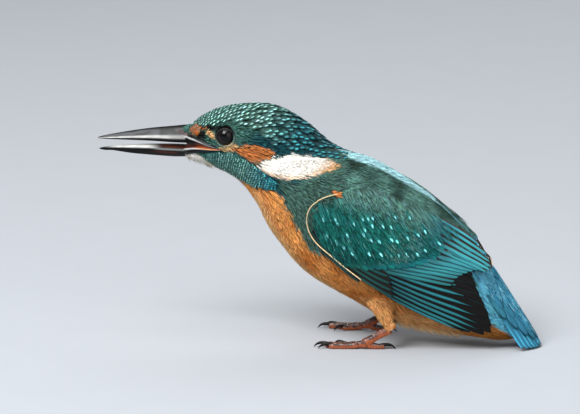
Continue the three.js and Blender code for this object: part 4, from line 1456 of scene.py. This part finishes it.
# Rows of wing coverts, from the flight feathers up: the line of their tips as (along, across), how
# many, their length and width, height over the wing, and how many degrees they turn towards the
# flight feathers.
COVERT_ROWS = [
    (
        [(20, -6.8), (27.4, -2.8), (32.2, 1.0), (38.1, 5.6), (43.4, 10.6), (47, 15.4), (51.5, 20.6)],
        18, 13.0, 3.2, 0.75, 16,
    ),
    ([(12, -4.2), (21, -2.8), (28, 0.4), (35, 5.4), (41.5, 11.0), (47.5, 18.0)], 18, 9.0, 2.6, 0.85, 8),
    ([(5, 0.2), (12, 0.6), (20, 2.0), (27, 5.0), (34, 9.4), (40, 14.0)], 17, 6.5, 2.2, 0.95, 2),
    ([(4.4, 3.2), (10.9, 4.2), (16, 5.8), (21.7, 8.6), (26.3, 11.5), (32, 15.4)], 14, 5.2, 2.0, 1.05, 0),
]
# The spotted coverts: the places of their tips, their length and width, height and how strong the
# spots are.
SPOTTED_ROWS = [
    ([(10, -1.7), (14, -1.5), (17.4, -1.8), (20.7, -1.4), (25.6, 1.8), (28.9, 4), (31.8, 5.5), (34.1, 7),
      (36.4, 8.6), (39, 10.5), (40.8, 12.8), (43, 16.5)], 5.6, 2.1, 1.1, 1.0),
    ([(6.2, 1.8), (11.1, 3.7), (15.8, 2.7), (20.3, 6), (23.3, 6.1), (26, 7.3), (29.1, 9.8), (30.8, 10.5),
      (33.2, 13.2), (35.6, 15.4), (36.7, 17.1)], 5.0, 2.0, 1.2, 1.0),
    ([(9.5, 4.4), (15.5, 7.2), (19.6, 7.7), (21.1, 10), (24.1, 12), (26.4, 13)], 4.6, 1.9, 1.3, 0.85),
    ([(17, 10), (18.6, 10.9), (19.6, 12), (25.9, 15.9), (29.7, 17.8)], 4.2, 1.8, 1.35, 0.6),
]
# Flight feathers: the lines that their roots and tips lie on, as (along, across).
PRIMARIES = 9
PRIMARY_ROOTS = [(27.5, 2.6), (31.2, -1.0), (34.4, -4.6), (36.0, -7.4)]
PRIMARY_TIPS = [
    (57.6, 13.8), (60.6, 11.2), (64.0, 8.8), (67.4, 6.5), (70.4, 4.2), (72.8, 2.0), (74.0, 0.0),
    (72.4, -2.0), (68, -3.9),
]
SECONDARIES = 9
SECONDARY_ROOTS = [(29.5, 0.0), (33.5, 4.2), (37.5, 8.2), (42, 12.2), (45, 16.2), (46.5, 20.0)]
SECONDARY_TIPS = [(53.7, 8.2), (53.8, 11.2), (55.0, 13.2), (56.9, 15.1), (58.8, 16.4), (60.6, 17.6)]
TERTIALS = [
    ((40, 15.5), (61.0, 16.4)), ((40, 17.2), (61.6, 17.2)), ((40, 18.8), (61.2, 18.0)),
    ((40, 20.2), (59.9, 18.8)), ((40, 21.4), (57.6, 19.9)), ((38.5, 22.4), (54.6, 21.0)),
]
TERTIAL_EDGE = [(44, 23.0), (50, 22.4), (55.2, 21.0), (59.4, 19.4), (61.9, 17.5)]
TERTIAL_SHIFT = {LEFT: [(0, 0), (0, 0)], RIGHT: [(-1, -3), (-2, -4)]}  # the right wing lies lower


def wing_line(starts, tips, shape, bow, side):
    """Centre lines on the folded wing from starts to tips, which are (along, across)."""
    starts, tips = np.asarray(starts, float), np.asarray(tips, float)
    surface = WingSurface(side)
    shares = (*shape["along"], 1)

    def place(share):
        at = starts + (tips - starts) * share
        return wing_points(at[:, 0], at[:, 1] + bow * 4 * share * (1 - share), side)

    line = []
    for share in shares:
        here, normal = surface.nearest(place(share))
        way = unit(place(share + 0.02) - place(share - 0.02))
        line.append((here, normal, unit(way - (way * normal).sum(1, keepdims=True) * normal)))
    return line


def wing_ways(places, stray, turn=0):
    """Which way coverts lie at places on the wing, as (along, across), straying by some degrees."""
    slope = np.interp(places[:, 0], *COVERT_SLOPE) + turn + RNG.normal(0, stray, len(places))
    return np.stack([np.cos(np.radians(slope)), np.sin(np.radians(slope))], axis=1)


def covert_feathers(coat, side):
    """The rows of scale-like feathers over the arm of the wing, then those with pale spots."""
    rows = [(along_line(tips, (np.arange(n) + 0.5) / n), *sizes, 0.0) for tips, n, *sizes in COVERT_ROWS]
    rows += [(np.array(tips, float), *sizes, 0, spot) for tips, *sizes, spot in SPOTTED_ROWS]
    for k, (ends, length, width, height, turn, spot) in enumerate(rows):
        ends = ends + RNG.normal(0, 0.12, ends.shape)
        line = wing_line(ends - length * wing_ways(ends, 3, turn), ends, SCALE, 0.25, side)
        rear = smoothstep(24, 48, ends[:, 0] + 4 * (k == 0))
        base = jittered(mix(COVERT_TEAL, COVERT_REAR, rear), 0.14, 40 + k)
        strength = spot * RNG.uniform(0.7, 1.0, len(ends)) * (0.5 + 0.5 * smoothstep(8, 20, ends[:, 0]))
        marks = with_alpha(jittered(np.tile(SPOT_CYAN, (len(ends), 1)), 0.1, 60 + k), strength)
        gather(
            coat, line, width, SCALE, (height - 0.3, height), base, marks, SPOTTED, VANE_PATCH,
            camber=0.06, hand=-side, root=0.6,
        )


COVERT_AREA = [
    (18, -7), (8, -4.9), (3, -2.8), (0.4, 0.8), (0.8, 5.6), (3.4, 10.6), (7, 16), (12, 20), (24, 22),
    (36, 18), (42, 15), (34, 7), (24, -1), (20, -4),
]


def small_coverts(coat, side):
    """Soft small feathers that fill the bend of the wing, between the rows and over them."""
    count = 7600
    places = np.stack([RNG.uniform(0, 46, count), RNG.uniform(-8, 22, count)], axis=1)
    inside = signed_distance(COVERT_AREA, places[:, 0], places[:, 1]) < -0.4
    places = places[inside]
    ways = wing_ways(places, 4)
    tips = places + ways * RNG.uniform(2.4, 4.0, (len(places), 1))
    line = wing_line(places, tips, HAIR, 0.0, side)
    upper = smoothstep(6, 14, places[:, 1] - 0.3 * places[:, 0])
    base = jittered(mix(COVERT_TEAL * 1.1, SCAPULAR_GREEN * 0.8, upper), 0.32, 80, 0.3)
    bright = RNG.random(len(places)) < 0.05
    base = mix(base, SPOT_CYAN * 0.45, 0.6 * bright)
    over = RNG.random(len(places)) < 0.4 + 0.5 * upper
    height = np.where(over, 1.4, 0.95)
    tufts(coat, line, 0.34, (height - 0.6, height), base, 1.4, 0.6, camber=0.12)


def spacing(lines_from, lines_to, share):
    """How far apart neighbouring feathers lie at a share of their length, by feather."""
    at = lines_from + (lines_to - lines_from) * share
    gaps = np.linalg.norm(np.diff(at, axis=0), axis=1)
    return np.r_[gaps[:1], gaps]


def primary_web(share):
    """The inner and outer web of a primary, in millimetres: the outer one narrows towards the tip."""
    inner = np.interp(share, [0, 0.91, 0.96, 1], [3.8, 4.2, 3.4, 1.2])
    return inner, np.interp(share, [0, 0.3, 0.7, 0.88, 1], [1.0, 1.15, 1.15, 0.8, 0.5])


def small_web(share):
    """The webs of a covert of the primaries: the same all along."""
    return 2.0, 1.1


def tertial_web(share):
    """The webs of a tertial, which is widest in its middle."""
    return 1.0, np.interp(share, [0, 0.5, 1], [1.3, 1.5, 1.0])


def vanes(coat, starts, tips, height, webs, colour, base, material, bow, side, seed):
    """Flight feathers, each over the one before it; webs are in millimetres."""
    for i in range(len(starts)):
        line = wing_line(starts[i:i + 1], tips[i:i + 1], VANE, bow, side)
        marks = with_alpha(jittered(colour[i:i + 1], 0.08, seed + i), 1.0)
        gather(
            coat, line, 2.0, VANE, (height[i] - 0.1, height[i]), base[None], marks, material, VANE_PATCH,
            camber=0.05, tilt=0.06, webs=webs[i], hand=-side,
        )


def flight_feathers(coat, side):
    """Primaries with their coverts and the alula, then secondaries and tertials over them."""
    share = np.linspace(0, 1, PRIMARIES)
    starts = along_line(PRIMARY_ROOTS, share)
    colour = np.tile(FLIGHT_TEAL, (PRIMARIES, 1))
    height = 0.42 - 0.05 * np.arange(PRIMARIES)
    webs = [primary_web] * PRIMARIES
    vanes(coat, starts, np.array(PRIMARY_TIPS), height, webs, colour, FLIGHT_DARK, FLIGHT, -0.35, side, 100)
    small = np.array([
        (13, -1.6, 32, 1.4), (14, -2.8, 34.0, -0.4), (15, -4.2, 36, -2.2), (15, -5.4, 37.8, -4.2),
        (16, -6.6, 39.2, -6.2), (5, -2.6, 20, -6.0), (4, -3.8, 22.5, -7.4), (8, -6.0, 27, -8.4),
    ])
    colour = mix(COVERT_TEAL, FLIGHT_DARK, np.where(np.arange(len(small)) > 4, 0.5, 0.25))
    height = np.array([0.62, 0.58, 0.54, 0.5, 0.46, 0.75, 0.68, 0.6])
    webs = [small_web] * len(small)
    vanes(coat, small[:, :2], small[:, 2:], height, webs, colour, FLIGHT_DARK, FLIGHT_PALE, -0.3, side, 120)

    share = np.linspace(0, 1, SECONDARIES)
    starts, tips = along_line(SECONDARY_ROOTS, share), along_line(SECONDARY_TIPS, share)
    tips = tips + share[:, None] ** 2 * TERTIAL_SHIFT[side][1]
    colour = mix(FLIGHT_TEAL, TERTIAL_TEAL, share)
    height = 0.6 + 0.04 * np.arange(SECONDARIES)
    at = np.linspace(0, 1, 5)
    gaps = np.stack([spacing(starts, tips, a) for a in at])
    webs = [
        lambda share, i=i: (1.8, 0.68 * np.interp(share, at, gaps[:, i]))
        for i in range(SECONDARIES)
    ]
    vanes(coat, starts, tips, height, webs, colour, FLIGHT_DARK * 1.5, FLIGHT_PALE, 0.5, side, 140)

    tertials = np.array(TERTIALS) + TERTIAL_SHIFT[side]
    colour = np.tile(TERTIAL_TEAL, (len(tertials), 1))
    height = 0.9 + 0.04 * np.arange(len(tertials)) - 0.3 * (side == RIGHT)
    webs = [tertial_web] * len(tertials)
    vanes(
        coat, tertials[:, 0], tertials[:, 1], height, webs, colour, TERTIAL_BROWN, FLIGHT_PALE,
        0.4, side, 160,
    )


def tertial_edge(coat, side):
    """The brown and cream outer edge of the hindmost tertial, along the top of the folded wing."""
    count = 110
    share = RNG.uniform(0, 0.88, count)
    off = RNG.uniform(-0.35, 0.35, (count, 1))
    starts = along_line(TERTIAL_EDGE, share) + (0, 1) * off + TERTIAL_SHIFT[side][1]
    tips = along_line(TERTIAL_EDGE, share + 0.12) + (0, 1) * off + TERTIAL_SHIFT[side][1]
    line = wing_line(starts, tips, HAIR, 0.0, side)
    base = jittered(mix(TERTIAL_BROWN * 0.7, EDGE_CREAM * 0.7, smoothstep(0.1, 0.35, off[:, 0])), 0.15, 172)
    tufts(coat, line, 0.36, (0.85, 0.95), base, camber=0.1)


def scapulars(coat, side):
    """Long loose feathers of the shoulder, which hide the roots of the tertials."""
    count = 900
    places = np.stack([RNG.uniform(26, 42, count), RNG.uniform(6, 22.5, count)], axis=1)
    places = places[places[:, 1] > 1.35 * places[:, 0] - 35]
    ways = wing_ways(places, 3)
    tips = places + ways * RNG.uniform(4, 6.5, (len(places), 1))
    line = wing_line(places, tips, HAIR, 0.3, side)
    base = mix(SCAPULAR_GREEN * 0.7, TERTIAL_TEAL * 0.5, smoothstep(26, 38, places[:, 0]))
    base = jittered(base, 0.24, 170, 0.15)
    tufts(coat, line, 0.4, (0.75, 1.2), base, 1.4, 0.6, camber=0.12)


WING_EDGE = [
    (11, 54.5), (5.2, 53.1), (0.7, 50.4), (-0.9, 46.8), (-0.4, 42.3), (2.4, 37.9), (8, 33.6),
    (13.4, 29.5), (18.6, 25.8),
]


def bend_places(shares):
    """Places along the bend of the wing, on its plane."""
    at = along_line(WING_EDGE, shares)
    return np.stack(on_wing_plane(np.stack([at[:, 0], np.zeros(len(at)), at[:, 1]], axis=1)), axis=1)


def wing_edge(coat, side):
    """The cream line along the bend of the wing, and the orange spot at the shoulder."""
    shares = np.linspace(0, 0.96, 90)
    line = wing_line(bend_places(shares), bend_places(shares + 0.04), HAIR, 0.0, side)
    base = jittered(np.tile(EDGE_CREAM, (len(shares), 1)), 0.06, 180)
    tufts(coat, line, 0.42, (0.9, 1.25), base, camber=0.3)
    spot = np.array([[3.6, 11.4]]) + RNG.normal(0, 1, (40, 2)) * (0.6, 0.26)
    line = wing_line(spot, spot + (1.6, 0.8), HAIR, 0.0, side)
    base = jittered(np.tile(EAR_ORANGE, (40, 1)), 0.15, 181)
    tufts(coat, line, 0.4, (0.7, 1.3), base, camber=0.2)


for side_name, side_sign in SIDES.items():
    flight, small_coat = Coat(), Coat()
    flight_feathers(flight, side_sign)
    vaned = [f"wing_{part}_{side_name}" for part in ("secondaries", "primaries")]
    coat_piece(f"flight_feathers_{side_name}", flight, vaned)
    small_coverts(small_coat, side_sign)
    scapulars(small_coat, side_sign)
    tertial_edge(small_coat, side_sign)
    covert_feathers(small_coat, side_sign)
    wing_edge(small_coat, side_sign)
    coat_piece(f"wing_covert_feathers_{side_name}", small_coat)

# ---------------------------------------------------------------- tail

TAIL = {
    "x": 59.4, "z": 28.2, "end_x": 77.6, "end_z": 0.3, "half": 9.0, "drop": 4.8, "shorter": 4.6,
    "feathers": 12,
}


def tail_points(across, along):
    """Points of the fan's upper surface: across from -1 to 1, along from root to tip."""
    run = np.array([TAIL["end_x"] - TAIL["x"], TAIL["end_z"] - TAIL["z"]])
    length = np.linalg.norm(run)
    run = run / length
    aside = np.maximum(0, np.abs(across) - 1 / TAIL["feathers"])
    reach = (length - TAIL["shorter"] * aside**2) * along
    down = TAIL["drop"] * aside**1.5
    half = TAIL["half"] * (0.8 + 0.2 * along)
    return np.stack([
        TAIL["x"] + run[0] * reach + run[1] * down,
        across * half,
        TAIL["z"] + run[1] * reach - run[0] * down,
    ], axis=-1)


def fan_line(across, start, end, lift, shape=VANE):
    """Centre lines over the tail's fan, from one share of its length to another."""
    line = []
    for share in (*shape["along"], 1):
        at = start + (end - start) * share
        here = tail_points(across, at)
        forward = tail_points(across, at + 0.02) - here
        sideways = tail_points(across + 0.02, at) - here
        normal = unit(np.cross(forward, sideways))
        normal = normal * np.sign(normal[:, :1])
        line.append((here + lift * normal, normal, unit(forward)))
    return line


def tail_feathers():
    """Twelve blue tail feathers, the middle pair on top."""
    coat = Coat()
    count = TAIL["feathers"]
    for i in sorted(range(count), key=lambda k: -abs(k - (count - 1) / 2)):
        across = np.array([(2 * i + 1) / count - 1])
        height = 0.05 + 0.3 * (1 - abs(across[0]))
        base = jittered(TAIL_BLUE[None] * 0.4, 0.08, 200 + i)
        marks = with_alpha(jittered(TAIL_TURQUOISE[None], 0.08, 220 + i), 0.9)
        line = fan_line(across, 0.0, 1.0, 0.0)
        gather(coat, line, 2.9, VANE, (height, height - 0.15), base, marks, SOFT, VANE_PATCH, camber=0.05)
    coat_piece("tail_feathers", coat, ["tail"])


# The broad upper tail coverts: where each ends on the fan, across it from -1 to 1 and along it.
TAIL_COVERT_TIPS = [
    (-0.95, 0.6), (-0.75, 0.74), (-0.55, 0.84), (-0.3, 0.9), (0, 0.92),
    (0.3, 0.9), (0.55, 0.84), (0.75, 0.74),
    (0.95, 0.6), (-0.85, 0.48), (-0.62, 0.62), (-0.4, 0.72), (-0.15, 0.78), (0.15, 0.78), (0.4, 0.72),
    (0.62, 0.62), (0.85, 0.48),
]


def scallops(coat):
    """Broad blue feathers with scalloped ends, over the roots of the tail feathers."""
    for k, (across, end) in enumerate(TAIL_COVERT_TIPS):
        line = fan_line(np.array([across]), end - 0.4, end, 0.3)
        base = jittered(TAIL_BLUE[None] * 0.42, 0.1, 260 + k)
        marks = with_alpha(STREAK_DARK[None] * 0.15, 0.95)
        gather(coat, line, 3.2, VANE, (0.0, 0.35), base, marks, SOFT, VANE_PATCH, camber=0.1)


# Loose strands over the tail: how many, where along the fan they start, and how high they lie.
STRANDS = [(2400, -0.05, 0.6, 0.85), (1500, 0.5, 0.85, 0.42)]


def strands(coat, count, first, last, lift):
    """Long loose strands that lie along the fan of the tail."""
    across, start = RNG.uniform(-0.99, 0.99, count), RNG.uniform(first, last, count)
    kept = start < last * np.interp(np.abs(across), [0, 0.3, 0.5, 1], [1, 1, 0.5, 0.15])
    across, start = across[kept], start[kept]
    end = np.minimum(start + RNG.uniform(0.12, 0.28, len(start)), 0.97)
    shade = RNG.random(len(start))
    base = mix(STREAK_DARK * 0.7, TAIL_TURQUOISE, smoothstep(0.3, 0.6, shade))
    base = jittered(mix(base, STRIPE_CYAN, 0.6 * (shade > 0.8)), 0.15, 250)
    line = fan_line(across, start, end, lift, HAIR)
    tufts(coat, line, 0.3, (-0.2, 0.12), base, 1.3, 0.6, camber=0.12)


def rump_feathers(coat):
    """Soft blue feathers that hang from the rump over the root of the tail."""
    count = 3600
    x = RNG.uniform(54, 69, count)
    y = RNG.uniform(-1, 1, count) * np.interp(x, [54, 60, 69], [7, 11.5, 8])
    top = np.interp(x, [51.6, 57.2, 61.9, 68], [39, 32.2, 25.2, 13.5])
    guess = np.stack([x, y, top + 3 - 0.035 * y**2], axis=1)
    roots, _ = HULL.nearest(guess)
    low = np.interp(roots[:, 0], [50, 56, 60, 66, 69], [31, 24, 14, 9.5, 9])
    roots = roots[(roots[:, 2] > low) & (roots[:, 0] > 54)]
    ways = lie_of_coat(roots) + RNG.normal(0, 0.035, roots.shape)
    length = RNG.uniform(5, 9, len(roots)) * np.interp(roots[:, 0], [50, 62, 69], [1, 1, 0.5])
    shade = RNG.random(len(roots))
    base = mix(STREAK_DARK, RUMP_BLUE, smoothstep(0.25, 0.6, shade))
    base = jittered(mix(base, STRIPE_CYAN, 0.7 * (shade > 0.88)), 0.15, 240)
    line = march(HULL, roots, ways, length, HAIR)
    tufts(coat, line, 0.42, (-0.6, 0.3), base, 1.3, 0.6, camber=0.12)


def tail_coverts():
    """All the feathers that cover the root of the tail."""
    coat = Coat()
    scallops(coat)
    for strand in STRANDS:
        strands(coat, *strand)
    rump_feathers(coat)
    coat_piece("plumage_tail_coverts", coat)


tail_feathers()
tail_coverts()

# ---------------------------------------------------------------- feet

TOE_HEIGHT = 1.0
TOES = {"middle": (13.6, 0), "outer": (12.2, 9), "inner": (8.8, -17), "hind": (6.8, -172)}  # length, turn
SCUTE = 1.05
FOOT_DARK = srgb(40, 25, 20)
FOOT_ORANGE = srgb(172, 86, 42)
# FOOT_HIGHLIGHT is a painted highlight on the scales.
FOOT_HIGHLIGHT = srgb(206, 176, 156)
CLAW_BLACK = srgb(24, 22, 20)
CLAW_HOOK = [(-0.4, 0.1), (-0.05, 0.45), (0.32, 0.62), (0.64, 0.32), (0.88, -0.35), (1.0, -0.97)]
CLAW_LENGTHS = {"middle": 4.0, "outer": 3.7, "inner": 3.0, "hind": 3.9}


def toe_line(name, toe, side):
    """The line of a toe, from its root to its tip."""
    length, turn = TOES[toe]
    root = np.array([LEG["toes_x"] - FOOT_FORWARD[name], side * LEG["out"], TOE_HEIGHT])
    ahead = np.array([-math.cos(math.radians(turn)), side * math.sin(math.radians(turn)), 0])
    return root, ahead, length


def scute_place(points, name, side):
    """For points of a foot: how far along its own toe or shank each one is."""
    best = np.full(len(points), 1e9)
    along = np.zeros(len(points))
    lines = [toe_line(name, toe, side) for toe in TOES]
    root = lines[0][0]
    heel = root + (LEG["heel_x"] - LEG["toes_x"], 0, LEG["heel_z"] - TOE_HEIGHT)
    shank = heel - root
    lines.append((root, shank / np.linalg.norm(shank), np.linalg.norm(shank)))
    for start, ahead, length in lines:
        t = np.clip((points - start) @ ahead, 0.8, length)
        gap = np.linalg.norm(points - start - t[:, None] * ahead, axis=1)
        closer = gap < best
        best, along = np.where(closer, gap, best), np.where(closer, t, along)
    return along


def foot(name, side):
    """A foot's skin with its rings of scales."""
    nodes = [f"tarsus_{name}"] + [f"toe_{toe}_{name}" for toe in TOES]
    points, faces, normals = wrapped(nodes, FOOT_VOXEL, FOOT_SMOOTHING)
    ring = np.abs(np.sin(math.pi * scute_place(points, name, side) / SCUTE))
    points = points + normals * (0.13 * (smoothstep(0, 0.45, ring) - 0.8))[:, None]
    points[:, 2] = np.maximum(points[:, 2], 0.02)
    low = 1 - smoothstep(-0.35, 0.45, normals[:, 2] + 0.35 * noise(points, 1.0, 30))
    colours = mix(np.tile(FOOT_BROWN, (len(points), 1)), FOOT_ORANGE, low)
    dark = smoothstep(-0.2, 0.5, noise(points, 0.9, 31) + normals[:, 2] - 0.4)
    colours = mix(colours, FOOT_DARK, 0.85 * dark)
    # Painted highlight: pale glints on the upward-facing tops of the scales, where the light falls.
    glint = smoothstep(0.35, 0.6, noise(points, 0.45, 32)) * smoothstep(0.2, 0.7, normals[:, 2])
    colours = mix(colours, FOOT_HIGHLIGHT, 0.6 * glint)
    colours = colours * (0.55 + 0.45 * smoothstep(0, 0.4, ring))[:, None]
    painted_piece(f"foot_{name}", points, faces, colours, FOOT, "foot_skin", nodes)


def claws(name, side):
    """Four hooked claws, each springing from the end of its toe and bending to the ground."""
    parts = []
    for toe in TOES:
        root, ahead, length = toe_line(name, toe, side)
        tip = root + ahead * length
        hook = along_line(CLAW_HOOK, np.linspace(0, 1, 20))
        line = tip + hook[:, :1] * CLAW_LENGTHS[toe] * ahead + hook[:, 1:] * (0, 0, 1)
        line[:, 2] = np.maximum(line[:, 2], 0.06)
        radii = 0.68 * (1 - np.linspace(0, 1, 20) ** 0.9) + 0.05
        points, faces = tube(line, radii, 14, 1.15, (0, 0, 1))
        points[:, 2] = np.maximum(points[:, 2], 0)
        parts.append((points, faces, np.tile(CLAW_BLACK, (len(points), 1))))
    painted_piece(f"claws_{name}", *together(parts), HORN, "horn", [f"claw_{toe}_{name}" for toe in TOES])


def heel_tufts(coat, name, side):
    """Fine hair-like feathers that run from the thigh down over the top of the shank."""
    count = 230
    root, _, _ = toe_line(name, "middle", side)
    heel = root + (LEG["heel_x"] - LEG["toes_x"], 0, LEG["heel_z"] - TOE_HEIGHT)
    axis = unit((root - heel)[None])[0]
    turn = RNG.uniform(0.42, 1.58, count) * math.pi
    outward = np.cross(axis, (0, 1, 0)) * np.cos(turn)[:, None]
    outward = outward + np.array([[0, 1.0, 0]]) * np.sin(turn)[:, None]
    start = RNG.uniform(-3.4, -1.0, count)
    length = RNG.uniform(2.4, 4.4, count) * (0.8 + 0.2 * np.sin(turn))
    line = []
    for share in (*HAIR["along"], 1):
        at = start + length * share
        reach = np.interp(at, [-3.4, -1.5, 0.5, 2.5], [2.45, 1.95, 1.5, 1.4])
        place = heel + at[:, None] * axis + reach[:, None] * outward
        line.append((place, outward, np.tile(axis, (count, 1))))
    base = jittered(mix(ORANGE_DEEP * 0.7, ORANGE_PALE, 0.7 * RNG.random(count) ** 2), 0.2, 290)
    tufts(coat, line, 0.34, (0.0, 0.15), base, 1.2, 0.5, camber=0.15)


heels = Coat()
for side_name, side_sign in SIDES.items():
    foot(side_name, side_sign)
    claws(side_name, side_sign)
    heel_tufts(heels, side_name, side_sign)
coat_piece("plumage_heels", heels)
